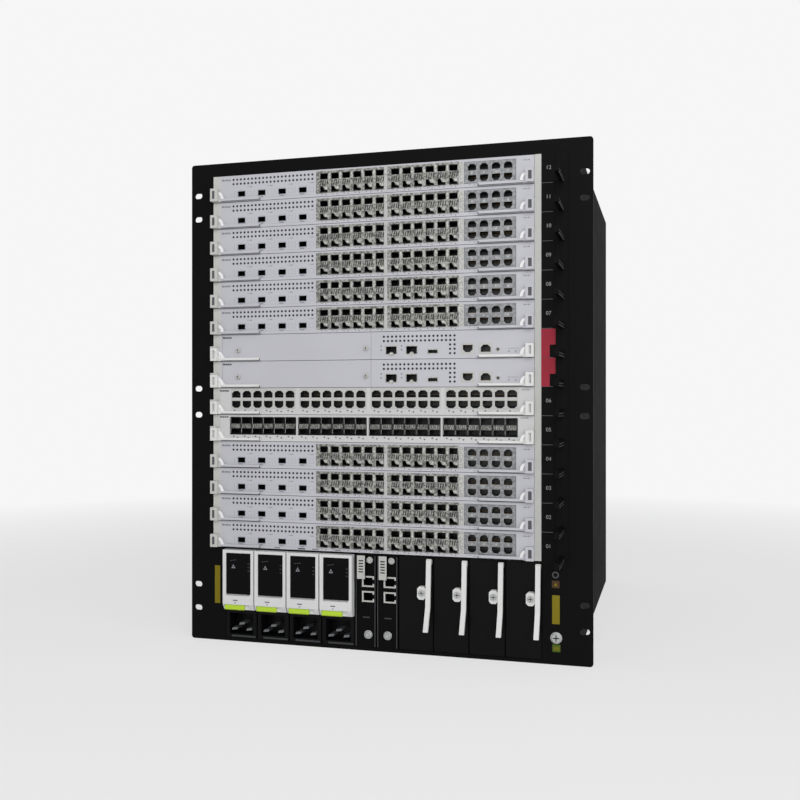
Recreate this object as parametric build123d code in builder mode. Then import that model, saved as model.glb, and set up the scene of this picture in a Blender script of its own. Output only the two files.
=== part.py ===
"""A rack-mounted modular chassis switch: a card cage of fourteen slots over a row of power,
monitoring and fabric bays, with two fan trays behind. Millimetres; X right, Y back, Z up.
The origin is the middle of the underside, and the front of the plate faces -Y."""

import os
from math import sqrt

from build123d import *

os.makedirs("parts", exist_ok=True)

# Overall sizes
rack_width = 482.6
ear_width = 20.3
chassis_depth = 520.0
plate_thick = 3.0
plate_corner = 3.5
sheet = 2.0
fit_gap = 0.3

# Rack slots in the ears, on the hole grid of a 19-inch rack
rack_unit = 44.45
rack_play = 0.425
rack_slot_length = 10.3
rack_slot_width = 6.8
rack_slot_inset = 8.75
rack_hole_steps = (38.1, 66.675, 273.05, 304.8, 511.175, 539.75)

# Bays under the card cage
bay_floor_lift = 4.0
bay_height = 107.4
shelf_thick = 1.5
bay_wall = 1.0
power_pitch = 41.2
monitor_pitch = 26.2
power_count = 4
monitor_count = 2
fabric_count = 4
bays_inset = 16.6
bays_overhang = 1.1

# Card cage
slot_count = 14
slot_pitch = 32.04
cage_left_margin = 8.5
cage_right_margin = 36.0
top_margin = 15.54
guide_strip = 7.3
guide_strip_thick = 2.0
guide_wall = 2.0
ledge_thick = 1.5
ledge_grip = 6.0

# Cards
card_gap = 0.54
panel_thick = 2.0
board_lift = 2.6
board_thick = 1.6
cage_top_lift = 28.5
plug_width = 120.0
plug_height = 8.0
plug_depth = 10.0
module_plug_height = 30.0
module_plug_width = 16.0
sink_width = 150.0
sink_depth = 90.0
sink_height = 14.0
sink_setback = 150.0

# Small upright sockets of a line card
window_first = 37.2
window_pitch = 26.3
window_count = 4
window_width = 9.3
window_height = 6.1
window_lift = 9.4

# Optical sockets of a line card, in blocks of six columns; each column holds two, one above the other
sfp_first = 142.7
sfp_pitch = 13.7
sfp_block_step = 87.0
sfp_columns = 6
sfp_width = 9.7
sfp_height = 20.1
sfp_lift = 16.2
sfp_depth = 24.0
block_wall = 2.0
block_gap = 8.0

# Copper sockets of a line card, counted from its right-hand end
jack_last = 29.2
jack_pitch = 13.6
jack_columns = 4
jack_width = 9.5
jack_height = 17.9
jack_lift = 16.35
jack_depth = 14.0

# Card full of copper sockets
copper_first = 30.4
copper_pitch = 13.9
copper_group_step = 88.37
copper_width = 11.8
copper_height = 6.2
copper_notch = 2.0
copper_notch_width = 5.4
copper_low = 13.7
copper_high = 25.7

# Card full of optical sockets
fibre_first = 29.4
fibre_pitch = 14.2
fibre_group_step = 87.9
fibre_width = 12.8
fibre_height = 19.7
fibre_lift = 19.45
group_end = 10.0

# Control card: its own panel at the right, whose sockets are measured from that panel's left edge
subcard_left = 11.7
control_width = 188.9
subcard_board_lift = 10.0
subcard_rail = 4.0
control_window_first = 24.35
control_window_step = 24.2
control_window_width = 12.6
control_window_height = 8.7
control_window_lift = 10.5
small_slot_place = 73.5
small_slot_width = 11.0
small_slot_height = 3.8
small_slot_lift = 8.4
control_jack_place = 113.95
control_jack_step = 20.5
control_jack_width = 11.2
control_jack_height = 8.2
control_jack_lift = 11.2
button_place = 148.3
button_lift = 9.84
button_radius = 1.4
button_length = 5.0
button_travel = 0.8

# Card levers, measured from their hinge pin
lever_hub = 4.1
lever_block = 5.0
lever_front = 4.0
lever_slant = 0.6
lever_bottom = 0.64
lever_height = 15.4
lever_reach = 58.9
lever_arm_height = 3.5
lever_arm_thick = 3.6
lever_web_reach = 8.0
lever_web_height = 8.4
lever_pin_inset = 3.8
lever_stand_off = 0.4
lever_eye_width = 2.9
lever_eye_height = 9.5
lever_eye_depth = 2.5
lever_ear_thick = 1.6
pin_radius = 1.4
pin_gap = 0.3
pin_sides = 8
round_sides = 12

# Power units
bezel_proud = 10.0
bezel_bottom = 35.4
bezel_frame = 4.6
bezel_window_bottom = 52.8
bezel_window_depth = 3.0
bezel_slope = 7.0
inlet_bottom = 5.0
inlet_height = 25.0
inlet_inset = 4.5
inlet_depth = 20.0
blade_width = 6.3
blade_thick = 2.0
blade_length = 17.0
blade_spread = 9.5
blade_low = 9.6
blade_high = 16.2
latch_width = 25.0
latch_height = 6.0
latch_thick = 4.0
latch_travel = 6.0
latch_inset = 2.2

# Monitoring units
tab_width = 9.5
tab_height = 27.4
tab_proud = 5.0
tab_inset = 3.4
port_frame_width = 14.7
port_frame_height = 12.7
port_frame_proud = 1.5
port_width = 10.5
port_height = 8.5
port_depth = 14.0
port_inset = 9.0
port_tops = (83.0, 65.6)

# Fabric units
fabric_face_back = 1.0
boss_width = 10.0
boss_height = 15.0
boss_proud = 8.0
boss_middle = 67.6
fabric_lever_width = 5.5
fabric_lever_inset = 6.0
fabric_lever_thick = 3.0
fabric_hub = 3.2
fabric_pivot_drop = 4.4
fabric_lever_drop = 76.0
fabric_lever_flare = 15.0
fabric_lever_bow = 4.0

# Cable comb at the right of the cards
comb_width = 13.0
comb_thick = 2.0
comb_gap = 16.2
finger_length = 52.0
finger_width = 5.0
finger_thick = 3.0
finger_lip = 4.0
finger_inset = 6.5

# Backplane and rear
backplane_thick = 3.0
receptacle_depth = 8.0
tray_inset = 4.0
tray_gap = 6.0
tray_depth = 98.0
plenum_depth = 32.0
tray_wall = 1.5
tray_opening_gap = 0.5
fan_margin = 9.5
fan_hub = 26.0
fan_hub_depth = 24.0
fan_blades = 5
hub_sides = 10
fan_chord = 46.0
fan_blade_thick = 2.0
fan_blade_pitch = 35.0
fan_tip_gap = 6.0
blade_root = 3.0
motor_radius = 22.0
motor_length = 26.0
shaft_radius = 3.0
shaft_length = 12.0
grille_bars = 7
grille_slot = 15.0
handle_width = 110.0
handle_proud = 18.0
handle_bar = 6.0

# Places worked out from the sizes
front = -chassis_depth / 2
rear = chassis_depth / 2
body_width = rack_width - 2 * ear_width
inner = body_width / 2 - sheet
bay_top = bay_floor_lift + bay_height
cage_bottom = bay_top + shelf_thick
cage_top = cage_bottom + slot_count * slot_pitch
plate_height = cage_top + top_margin
cage_left = -body_width / 2 + cage_left_margin
cage_right = body_width / 2 - cage_right_margin
card_left = cage_left + fit_gap
card_right = cage_right - guide_strip - fit_gap
card_height = slot_pitch - card_gap
card_back = rear - tray_depth - plenum_depth
backplane_front = card_back + fit_gap + receptacle_depth
bays_left = cage_left + bays_inset
monitor_left = bays_left + power_count * power_pitch
fabric_left = monitor_left + monitor_count * monitor_pitch
bays_right = cage_right + bays_overhang
fabric_pitch = (bays_right - fabric_left) / fabric_count
module_height = bay_height - 2 * fit_gap
board_left = card_left
board_right = card_right
board_top = board_lift + board_thick
lever_pivot_y = front - lever_stand_off - lever_hub
left_pivot_x = card_left + lever_pin_inset
right_pivot_x = card_right - lever_pin_inset


def columns(starts, pitch, count, heights):
    """Places of sockets that stand in columns from each start, at some heights."""
    return [(start + n * pitch, z) for start in starts for n in range(count) for z in heights]


def group_starts(first, reach, step, end):
    """Starts of the groups that fit before the end, if each reaches that far past its start."""
    return [first + n * step for n in range(1 + int((end - first - reach) // step))]


def facing(y):
    """A sketch plane at depth y that faces the front, with its x to the right and its y up."""
    return Plane.XZ.offset(-y)


def block(x0, x1, y0, y1, z0, z1, mode=Mode.ADD):
    """A block between two corners, in the part being built."""
    with Locations(((x0 + x1) / 2, (y0 + y1) / 2, (z0 + z1) / 2)):
        Box(x1 - x0, y1 - y0, z1 - z0, mode=mode)


def windows(points, width, height, mode=Mode.ADD):
    """Equal rectangles about some points, in the sketch being drawn."""
    with Locations(*points):
        Rectangle(width, height, mode=mode)


def save(part, name):
    part.label = name
    export_step(part, f"parts/{name}.step")


def slot_floor(number):
    """Height of the floor of a slot; slot 1 is the lowest, and 13 and 14 are in the middle."""
    order = (1, 2, 3, 4, 5, 6, 14, 13, 7, 8, 9, 10, 11, 12)
    return cage_bottom + order.index(number) * slot_pitch


# Front plate with the mouth of the card cage and bays, and twelve slots in its ears
rack_slot_x = rack_width / 2 - rack_slot_inset
rack_slots = [(side * rack_slot_x, step - rack_play) for side in (-1, 1) for step in rack_hole_steps]
with BuildPart() as front_plate:
    with BuildSketch(facing(front)):
        with Locations((0, plate_height / 2)):
            RectangleRounded(rack_width, plate_height, plate_corner)
        with Locations(((cage_left + cage_right) / 2, (cage_bottom + cage_top) / 2)):
            Rectangle(cage_right - cage_left, cage_top - cage_bottom, mode=Mode.SUBTRACT)
        with Locations(((bays_left + bays_right) / 2, (bay_floor_lift + cage_bottom) / 2)):
            Rectangle(
                bays_right - bays_left,
                cage_bottom - bay_floor_lift,
                mode=Mode.SUBTRACT,
            )
        with Locations(*rack_slots):
            SlotOverall(rack_slot_length, rack_slot_width, mode=Mode.SUBTRACT)
    extrude(amount=-plate_thick)
save(front_plate.part, "front_plate")

# Sheet-metal sleeve behind the plate, open at both ends
with BuildPart() as chassis_shell:
    with BuildSketch(facing(front + plate_thick)):
        with Locations((0, plate_height / 2)):
            Rectangle(body_width, plate_height)
            Rectangle(2 * inner, plate_height - 2 * sheet, mode=Mode.SUBTRACT)
    extrude(amount=-(chassis_depth - plate_thick))
save(chassis_shell.part, "chassis_shell")

# Edges between the bays, from left to right
bay_edges = [bays_left + n * power_pitch for n in range(power_count)]
bay_edges += [monitor_left + n * monitor_pitch for n in range(monitor_count)]
bay_edges += [fabric_left + n * fabric_pitch for n in range(fabric_count + 1)]

# Floor, shelf and upright walls of the bays, one welded frame
with BuildPart() as bay_frame:
    with BuildSketch(facing(front + plate_thick)):
        with Locations((0, (sheet + bay_floor_lift) / 2)):
            Rectangle(2 * inner, bay_floor_lift - sheet)
        with Locations((0, bay_top + shelf_thick / 2)):
            Rectangle(2 * inner, shelf_thick)
        windows([(edge, bay_floor_lift + bay_height / 2) for edge in bay_edges], bay_wall, bay_height)
    extrude(amount=-(card_back - front - plate_thick))
    block(
        bays_left,
        bays_right,
        front,
        front + plate_thick,
        bay_top,
        cage_bottom,
    )
save(bay_frame.part, "bay_frame")

# Card guides: a wall at each side of the cage with a ledge under the board of every card
ledge_middle = cage_bottom + board_lift - fit_gap - ledge_thick / 2
ledge_middles = [ledge_middle + n * slot_pitch for n in range(slot_count)]
cage_roof = plate_height - sheet
ledge_start = front + plate_thick + 4 * fit_gap

with BuildPart() as card_guide_left:
    with BuildSketch(facing(ledge_start)):
        with Locations((-inner + guide_wall / 2, (cage_bottom + cage_roof) / 2)):
            Rectangle(guide_wall, cage_roof - cage_bottom)
        windows(
            [((-inner + board_left + ledge_grip) / 2, middle) for middle in ledge_middles],
            board_left + ledge_grip + inner,
            ledge_thick,
        )
    extrude(amount=-(card_back - ledge_start))
save(card_guide_left.part, "card_guide_left")

with BuildPart() as card_guide_right:
    with BuildSketch(facing(ledge_start)):
        with Locations((cage_right + guide_wall / 2, (cage_bottom + cage_roof) / 2)):
            Rectangle(guide_wall, cage_roof - cage_bottom)
        windows(
            [((cage_right + board_right - ledge_grip) / 2, middle) for middle in ledge_middles],
            cage_right - board_right + ledge_grip,
            ledge_thick,
        )
    extrude(amount=-(card_back - ledge_start))
    block(
        cage_right - guide_strip,
        cage_right,
        front,
        front + guide_strip_thick,
        cage_bottom,
        cage_top,
    )
    block(
        cage_right - guide_wall,
        cage_right,
        front + guide_strip_thick,
        ledge_start,
        cage_bottom,
        cage_top,
    )
    block(
        cage_right - guide_wall,
        cage_right + guide_wall,
        front + plate_thick,
        ledge_start,
        cage_bottom,
        cage_roof,
    )
save(card_guide_right.part, "card_guide_right")

# Backplane: one upright board with a column of receptacles for the cards and a row for the modules
bay_middle = bay_floor_lift + bay_height / 2
card_middle = (card_left + card_right) / 2
module_middles = [(left + right) / 2 for left, right in zip(bay_edges, bay_edges[1:])]
with BuildPart() as backplane:
    with BuildSketch(facing(backplane_front)):
        with Locations((0, (bay_floor_lift + cage_roof) / 2)):
            Rectangle(2 * inner, cage_roof - bay_floor_lift)
    extrude(amount=-backplane_thick)
    with BuildSketch(facing(backplane_front)):
        windows([(card_middle, (cage_bottom + cage_top) / 2)], plug_width, cage_top - cage_bottom)
        windows([((bays_left + bays_right) / 2, bay_middle)], bays_right - bays_left, module_plug_height)
    extrude(amount=receptacle_depth)
save(backplane.part, "backplane")

# Comb of cable fingers at the right of the cage, one finger for each slot
comb_x = cage_right + comb_gap
finger_x = comb_x + finger_inset
with BuildPart() as cable_hooks:
    with BuildSketch(facing(front)):
        with Locations((comb_x + comb_width / 2, (cage_bottom + cage_top) / 2)):
            Rectangle(comb_width, cage_top - cage_bottom)
    extrude(amount=comb_thick)
    with BuildSketch(Plane.YZ.offset(finger_x - finger_width / 2)):
        for number in range(slot_count):
            base = cage_bottom + number * slot_pitch
            with BuildLine():
                Polyline(
                    (front - comb_thick, base),
                    (front - finger_length, base),
                    (front - finger_length, base + finger_thick + finger_lip),
                    (front - finger_length + finger_thick, base + finger_thick),
                    (front - comb_thick, base + finger_thick + finger_lip),
                    close=True,
                )
            make_face()
    extrude(amount=finger_width)
save(cable_hooks.part, "cable_hooks")


# Card lever about its hinge pin: a hinge block that is cut away behind, so that it turns clear of
# the panel, a web and a thin arm along the card's edge
with BuildPart() as lever_arm:
    with BuildSketch(Plane.XZ.offset(-lever_hub)):
        with BuildLine():
            arm_top = lever_bottom + lever_arm_height
            Polyline(
                (lever_block, arm_top + lever_web_height),
                (lever_block, lever_bottom),
                (lever_reach, lever_bottom),
                (lever_reach, arm_top),
                (lever_block + lever_web_reach, arm_top),
                close=True,
            )
        make_face()
    extrude(amount=lever_arm_thick)

with BuildPart() as turning_lever:
    with BuildSketch(Plane.XY.offset(lever_bottom)):
        with BuildLine():
            Polyline(
                (0, lever_hub),
                (lever_block, lever_hub),
                (lever_block, -lever_front),
                (-lever_hub, -lever_front),
                (-lever_hub, 0),
                (-lever_hub * lever_slant, lever_hub * (1 - lever_slant / 2)),
                close=True,
            )
        make_face()
    extrude(amount=lever_height)
    add(lever_arm.part)
    with BuildSketch(Plane.XZ.offset(lever_front)):
        windows([(0, lever_bottom + lever_height / 2)], lever_eye_width, lever_eye_height)
    extrude(amount=-lever_eye_depth, mode=Mode.SUBTRACT)
    with BuildSketch(Plane.XY.offset(lever_bottom + lever_height)):
        RegularPolygon(pin_radius + pin_gap, pin_sides, major_radius=False)
    extrude(amount=-(lever_height - lever_arm_height), mode=Mode.SUBTRACT)


# The same lever closed for good, its block seated on the panel
with BuildPart() as closed_lever:
    block(
        -lever_hub,
        lever_block,
        -lever_front,
        lever_hub + lever_stand_off,
        lever_bottom,
        lever_bottom + lever_height,
    )
    add(lever_arm.part)


def lever_ear():
    """Ear of the panel over a lever's hinge block, about the hinge pin."""
    ear_bottom = lever_bottom + lever_height + fit_gap
    block(
        -lever_hub,
        lever_hub,
        -lever_hub,
        lever_hub + lever_stand_off,
        ear_bottom,
        ear_bottom + lever_ear_thick,
    )


def board_and_plug():
    """Board of a card with its plug at the back and its heat sink, with the slot's floor at 0."""
    block(
        board_left,
        board_right,
        front + panel_thick,
        card_back - plug_depth / 2,
        board_lift,
        board_top,
    )
    block(
        card_middle - plug_width / 2,
        card_middle + plug_width / 2,
        card_back - plug_depth,
        card_back,
        board_top,
        board_top + plug_height,
    )
    block(
        card_middle - sink_width / 2,
        card_middle + sink_width / 2,
        front + sink_setback,
        front + sink_setback + sink_depth,
        board_top,
        board_top + sink_height,
    )


def port_block(x0, x1):
    """Housing behind the panel that holds the card's sockets."""
    block(x0, x1, front + panel_thick, front + panel_thick + sfp_depth, board_top, cage_top_lift)


def closed_levers():
    """Both levers of a card, closed and seated on its panel."""
    with Locations((left_pivot_x, lever_pivot_y, 0)):
        add(closed_lever.part)
    with Locations((right_pivot_x, lever_pivot_y, 0)):
        add(mirror(closed_lever.part, about=Plane.YZ, mode=Mode.PRIVATE))


def panel(x0, x1):
    block(x0, x1, front, front + panel_thick, card_gap / 2, card_gap / 2 + card_height)


# Line card with four small sockets, two optical blocks and a copper block
jack_start = card_right - jack_last - (jack_columns - 1) * jack_pitch
sfp_starts = group_starts(
    card_left + sfp_first,
    (sfp_columns - 1) * sfp_pitch + sfp_width / 2,
    sfp_block_step,
    jack_start - jack_width / 2 - block_gap,
)
window_start = card_left + window_first
window_places = [(window_start + n * window_pitch, window_lift) for n in range(window_count)]
sfp_places = columns(sfp_starts, sfp_pitch, sfp_columns, (sfp_lift,))
jack_places = columns([jack_start], jack_pitch, jack_columns, (jack_lift,))
with BuildPart() as line_card:
    panel(card_left, card_right)
    board_and_plug()
    port_block(
        window_start - window_width / 2 - block_wall,
        jack_start + (jack_columns - 1) * jack_pitch + jack_width / 2 + block_wall,
    )
    with BuildSketch(facing(front)):
        windows(window_places, window_width, window_height)
        windows(sfp_places, sfp_width, sfp_height)
    extrude(amount=-(sfp_depth - block_wall), mode=Mode.SUBTRACT)
    with BuildSketch(facing(front)):
        windows(jack_places, jack_width, jack_height)
    extrude(amount=-(jack_depth - block_wall), mode=Mode.SUBTRACT)
    closed_levers()

for number in (1, 2, 3, 4, 7, 8, 9, 10, 11, 12):
    with BuildPart() as placed_card:
        with Locations((0, 0, slot_floor(number))):
            add(line_card.part)
    save(placed_card.part, f"line_card_{number:02d}")


with BuildPart() as pin:
    with BuildSketch():
        RegularPolygon(pin_radius, pin_sides)
    extrude(amount=lever_height - lever_arm_height)


def ears():
    """Ears and hinge pins at both ends of a card whose levers turn."""
    pin_length = lever_height - lever_arm_height
    with Locations((left_pivot_x, lever_pivot_y, 0), (right_pivot_x, lever_pivot_y, 0)):
        lever_ear()
        with Locations((0, 0, lever_bottom + lever_height + fit_gap - pin_length)):
            add(pin.part)


# Outline of a copper socket about its middle, with its latch notch at the top
with BuildSketch() as copper_port:
    with BuildLine():
        Polyline(
            (-copper_width / 2, -copper_height / 2),
            (copper_width / 2, -copper_height / 2),
            (copper_width / 2, copper_height / 2),
            (copper_notch_width / 2, copper_height / 2 + copper_notch),
            (-copper_notch_width / 2, copper_height / 2 + copper_notch),
            (-copper_width / 2, copper_height / 2),
            close=True,
        )
    make_face()

# Card full of copper sockets: four groups of two rows, each socket with its notch outward
copper_reach = (sfp_columns - 1) * copper_pitch + copper_width / 2
copper_starts = group_starts(
    card_left + copper_first,
    copper_reach,
    copper_group_step,
    card_right - group_end,
)
with BuildPart() as copper_card:
    panel(card_left, card_right)
    board_and_plug()
    port_block(
        copper_starts[0] - copper_width / 2 - block_wall,
        copper_starts[-1] + copper_reach + block_wall,
    )
    with BuildSketch(facing(front)):
        with Locations(*columns(copper_starts, copper_pitch, sfp_columns, (copper_high,))):
            add(copper_port.sketch)
        with Locations(*columns(copper_starts, copper_pitch, sfp_columns, (copper_low,))):
            add(copper_port.sketch, rotation=180)
    extrude(amount=-(jack_depth - block_wall), mode=Mode.SUBTRACT)
    ears()

with BuildPart() as copper_card_06:
    with Locations((0, 0, slot_floor(6))):
        add(copper_card.part)
save(copper_card_06.part, "copper_card_06")

# Card full of optical sockets: four cages of six columns, two sockets to a column
fibre_reach = (sfp_columns - 1) * fibre_pitch + fibre_width / 2
fibre_starts = group_starts(
    card_left + fibre_first,
    fibre_reach,
    fibre_group_step,
    card_right - group_end,
)
with BuildPart() as fibre_card:
    panel(card_left, card_right)
    board_and_plug()
    port_block(
        fibre_starts[0] - fibre_width / 2 - block_wall,
        fibre_starts[-1] + fibre_reach + block_wall,
    )
    with BuildSketch(facing(front)):
        windows(
            columns(fibre_starts, fibre_pitch, sfp_columns, (fibre_lift,)),
            fibre_width,
            fibre_height,
        )
    extrude(amount=-(sfp_depth - block_wall), mode=Mode.SUBTRACT)
    ears()

with BuildPart() as fibre_card_05:
    with Locations((0, 0, slot_floor(5))):
        add(fibre_card.part)
save(fibre_card_05.part, "fibre_card_05")

# Control card: sockets and a reset button at the right, and a bay for a sub-card at the left
control_left = card_right - control_width
control_block_right = control_left + control_jack_place + control_jack_step + control_jack_width
control_window_start = control_left + control_window_first
control_windows = columns([control_window_start], control_window_step, 2, (control_window_lift,))
control_jacks = columns([control_left + control_jack_place], control_jack_step, 2, (control_jack_lift,))
with BuildPart() as control_card:
    panel(card_left, card_left + subcard_left)
    panel(control_left, card_right)
    board_and_plug()
    port_block(control_window_start - control_window_width, control_block_right)
    for side in (card_left + subcard_left + subcard_rail, control_left - 2 * subcard_rail):
        block(
            side,
            side + subcard_rail,
            front + panel_thick + fit_gap,
            front + sink_setback - subcard_rail,
            board_top,
            subcard_board_lift - fit_gap,
        )
    with BuildSketch(facing(front)):
        windows(control_windows, control_window_width, control_window_height)
    extrude(amount=-(sfp_depth - block_wall), mode=Mode.SUBTRACT)
    with BuildSketch(facing(front)):
        windows([(control_left + small_slot_place, small_slot_lift)], small_slot_width, small_slot_height)
        windows(control_jacks, control_jack_width, control_jack_height)
    extrude(amount=-(jack_depth - block_wall), mode=Mode.SUBTRACT)
    with BuildSketch(facing(front)):
        with Locations((control_left + button_place, button_lift)):
            RegularPolygon(button_radius + pin_gap, round_sides, major_radius=False)
    extrude(amount=-(button_length + button_travel), mode=Mode.SUBTRACT)
    ears()

# Blank sub-card: its own panel and a small board that rides on the rails of the control card
with BuildPart() as blank_card:
    panel(card_left + subcard_left + fit_gap, control_left - fit_gap)
    block(
        card_left + subcard_left + subcard_rail,
        control_left - subcard_rail,
        front + panel_thick,
        front + sink_setback - subcard_rail,
        subcard_board_lift,
        subcard_board_lift + board_thick,
    )

for number in (13, 14):
    floor = slot_floor(number)
    with BuildPart() as placed_card:
        with Locations((0, 0, floor)):
            add(control_card.part)
    save(placed_card.part, f"control_card_{number}")
    with BuildPart() as placed_blank:
        with Locations((0, 0, floor)):
            add(blank_card.part)
    save(placed_blank.part, f"blank_card_{number}")
    with BuildPart() as reset_button:
        with BuildSketch(facing(front - button_travel)):
            with Locations((control_left + button_place, floor + button_lift)):
                RegularPolygon(button_radius, round_sides)
        extrude(amount=-(button_length + button_travel - fit_gap))
    save(reset_button.part, f"reset_button_{number}")

for number in (5, 6, 13, 14):
    with BuildPart() as lever_left:
        with Locations((left_pivot_x, lever_pivot_y, slot_floor(number))):
            add(turning_lever.part)
    save(lever_left.part, f"lever_left_{number:02d}")
    with BuildPart() as lever_right:
        with Locations((right_pivot_x, lever_pivot_y, slot_floor(number))):
            add(mirror(turning_lever.part, about=Plane.YZ, mode=Mode.PRIVATE))
    save(lever_right.part, f"lever_right_{number:02d}")

# Power unit about the middle of its bay: a steel can with a moulded bezel and a mains inlet
power_half = (power_pitch - bay_wall) / 2 - fit_gap
latch_left = -power_half + latch_inset
with BuildPart() as power_unit:
    block(-power_half, power_half, front, card_back - plug_depth, fit_gap, fit_gap + module_height)
    block(
        -module_plug_width / 2,
        module_plug_width / 2,
        card_back - plug_depth,
        card_back,
        module_height / 2 - module_plug_height / 2,
        module_height / 2 + module_plug_height / 2,
    )
    with BuildSketch(Plane.YZ.offset(-power_half)):
        with BuildLine():
            Polyline(
                (front, bezel_bottom),
                (front, fit_gap + module_height),
                (front - bezel_proud, fit_gap + module_height),
                (front - bezel_proud, bezel_bottom + bezel_slope),
                (front - bezel_proud + latch_thick, bezel_bottom),
                close=True,
            )
        make_face()
    extrude(amount=2 * power_half)
    with BuildSketch(facing(front - bezel_proud)):
        window_top = fit_gap + module_height - bezel_frame
        windows(
            [(0, (bezel_window_bottom + window_top) / 2)],
            2 * (power_half - bezel_frame),
            window_top - bezel_window_bottom,
        )
    extrude(amount=-bezel_window_depth, mode=Mode.SUBTRACT)
    block(
        latch_left - fit_gap,
        latch_left + latch_width + latch_travel + fit_gap,
        front - bezel_proud,
        front - bezel_proud + latch_thick + fit_gap,
        bezel_bottom,
        bezel_bottom + latch_height + fit_gap,
        mode=Mode.SUBTRACT,
    )
    with BuildSketch(facing(front)):
        windows(
            [(0, inlet_bottom + inlet_height / 2)],
            2 * (power_half - inlet_inset),
            inlet_height,
        )
    extrude(amount=-inlet_depth, mode=Mode.SUBTRACT)
    for x, height in ((-blade_spread, blade_low), (0, blade_high), (blade_spread, blade_low)):
        block(
            x - blade_width / 2,
            x + blade_width / 2,
            front + inlet_depth - blade_length,
            front + inlet_depth,
            height,
            height + blade_thick,
        )

# Thumb latch of a power unit, a rounded tab in a slot at the foot of the bezel
with BuildPart() as power_latch:
    with BuildSketch(facing(front - bezel_proud + latch_thick)):
        with Locations((latch_left + latch_width / 2, bezel_bottom + latch_height / 2)):
            Rectangle(latch_width, latch_height)
    extrude(amount=latch_thick)
    chamfer(power_latch.faces().sort_by(Axis.Y)[0].edges(), latch_thick / 4)

for number in range(1, power_count + 1):
    middle = module_middles[number - 1]
    with BuildPart() as placed_unit:
        with Locations((middle, 0, bay_floor_lift)):
            add(power_unit.part)
    save(placed_unit.part, f"power_unit_{number}")
    with BuildPart() as placed_latch:
        with Locations((middle, 0, bay_floor_lift)):
            add(power_latch.part)
    save(placed_latch.part, f"power_latch_{number}")

# Monitoring unit about the middle of its bay, with a pull tab and two ports on their sides
monitor_half = (monitor_pitch - bay_wall) / 2 - fit_gap
port_x = -monitor_half + port_inset + port_frame_width / 2 - fit_gap
with BuildPart() as monitoring_unit:
    block(-monitor_half, monitor_half, front, card_back - plug_depth, fit_gap, fit_gap + module_height)
    block(
        -module_plug_width / 2,
        module_plug_width / 2,
        card_back - plug_depth,
        card_back,
        module_height / 2 - module_plug_height / 2,
        module_height / 2 + module_plug_height / 2,
    )
    tab_x = -monitor_half + tab_inset
    tab_top = fit_gap + module_height
    block(tab_x, tab_x + tab_width, front - tab_proud, front, tab_top - tab_height, tab_top)
    for top in port_tops:
        block(
            port_x - port_frame_width / 2,
            port_x + port_frame_width / 2,
            front - port_frame_proud,
            front,
            top - port_frame_height,
            top,
        )
    with BuildSketch(facing(front - port_frame_proud)):
        windows([(port_x, top - port_frame_height / 2) for top in port_tops], port_width, port_height)
    extrude(amount=-port_depth, mode=Mode.SUBTRACT)

for number in range(1, monitor_count + 1):
    middle = module_middles[power_count + number - 1]
    with BuildPart() as placed_unit:
        with Locations((middle, 0, bay_floor_lift)):
            add(monitoring_unit.part)
    save(placed_unit.part, f"monitoring_unit_{number}")

# Fabric unit about the middle of its bay: black front with a boss for its captive screw
fabric_half = (fabric_pitch - bay_wall) / 2 - fit_gap
fabric_lever_right = fabric_half - fabric_lever_inset + fabric_lever_width
fabric_lever_left = fabric_lever_right - fabric_lever_width
with BuildPart() as fabric_unit:
    block(
        -fabric_half,
        fabric_half,
        front + fabric_face_back,
        card_back - plug_depth,
        fit_gap,
        fit_gap + module_height,
    )
    block(
        -module_plug_width / 2,
        module_plug_width / 2,
        card_back - plug_depth,
        card_back,
        module_height / 2 - module_plug_height / 2,
        module_height / 2 + module_plug_height / 2,
    )
    with BuildSketch(facing(front + fabric_face_back)):
        with Locations((fabric_lever_left - fit_gap - boss_width / 2, boss_middle)):
            boss = Rectangle(boss_width, boss_height)
        chamfer(boss.vertices(), boss_width / 4)
    extrude(amount=boss_proud)

# Curved ejector lever of a fabric unit, hinged at its top and flaring forward at its free end
pivot_z = fit_gap + module_height - fabric_pivot_drop
fabric_pivot_y = front - fabric_hub
with BuildPart() as fabric_lever:
    with BuildSketch(Plane.YZ.offset(fabric_lever_left)):
        with Locations((fabric_pivot_y, pivot_z)):
            RegularPolygon(fabric_hub, pin_sides, rotation=180 / pin_sides, major_radius=False)
        with BuildLine():
            foot = pivot_z - fabric_lever_drop
            bend = pivot_z - fabric_lever_drop * 2 / 3
            outer_y = fabric_pivot_y - fabric_hub
            inner_y = outer_y + fabric_lever_thick
            Line((outer_y, pivot_z), (outer_y - fabric_lever_bow, bend))
            Line((outer_y - fabric_lever_bow, bend), (outer_y - fabric_lever_flare, foot))
            Line((outer_y - fabric_lever_flare, foot), (inner_y - fabric_lever_flare, foot))
            Line((inner_y - fabric_lever_flare, foot), (inner_y - fabric_lever_bow, bend))
            Line((inner_y - fabric_lever_bow, bend), (inner_y, pivot_z))
            Line((inner_y, pivot_z), (outer_y, pivot_z))
        make_face()
    extrude(amount=fabric_lever_width)

for number in range(1, fabric_count + 1):
    middle = module_middles[power_count + monitor_count + number - 1]
    with BuildPart() as placed_unit:
        with Locations((middle, 0, bay_floor_lift)):
            add(fabric_unit.part)
    save(placed_unit.part, f"fabric_unit_{number}")
    with BuildPart() as placed_lever:
        with Locations((middle, 0, bay_floor_lift)):
            add(fabric_lever.part)
    save(placed_lever.part, f"fabric_lever_{number}")

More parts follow.
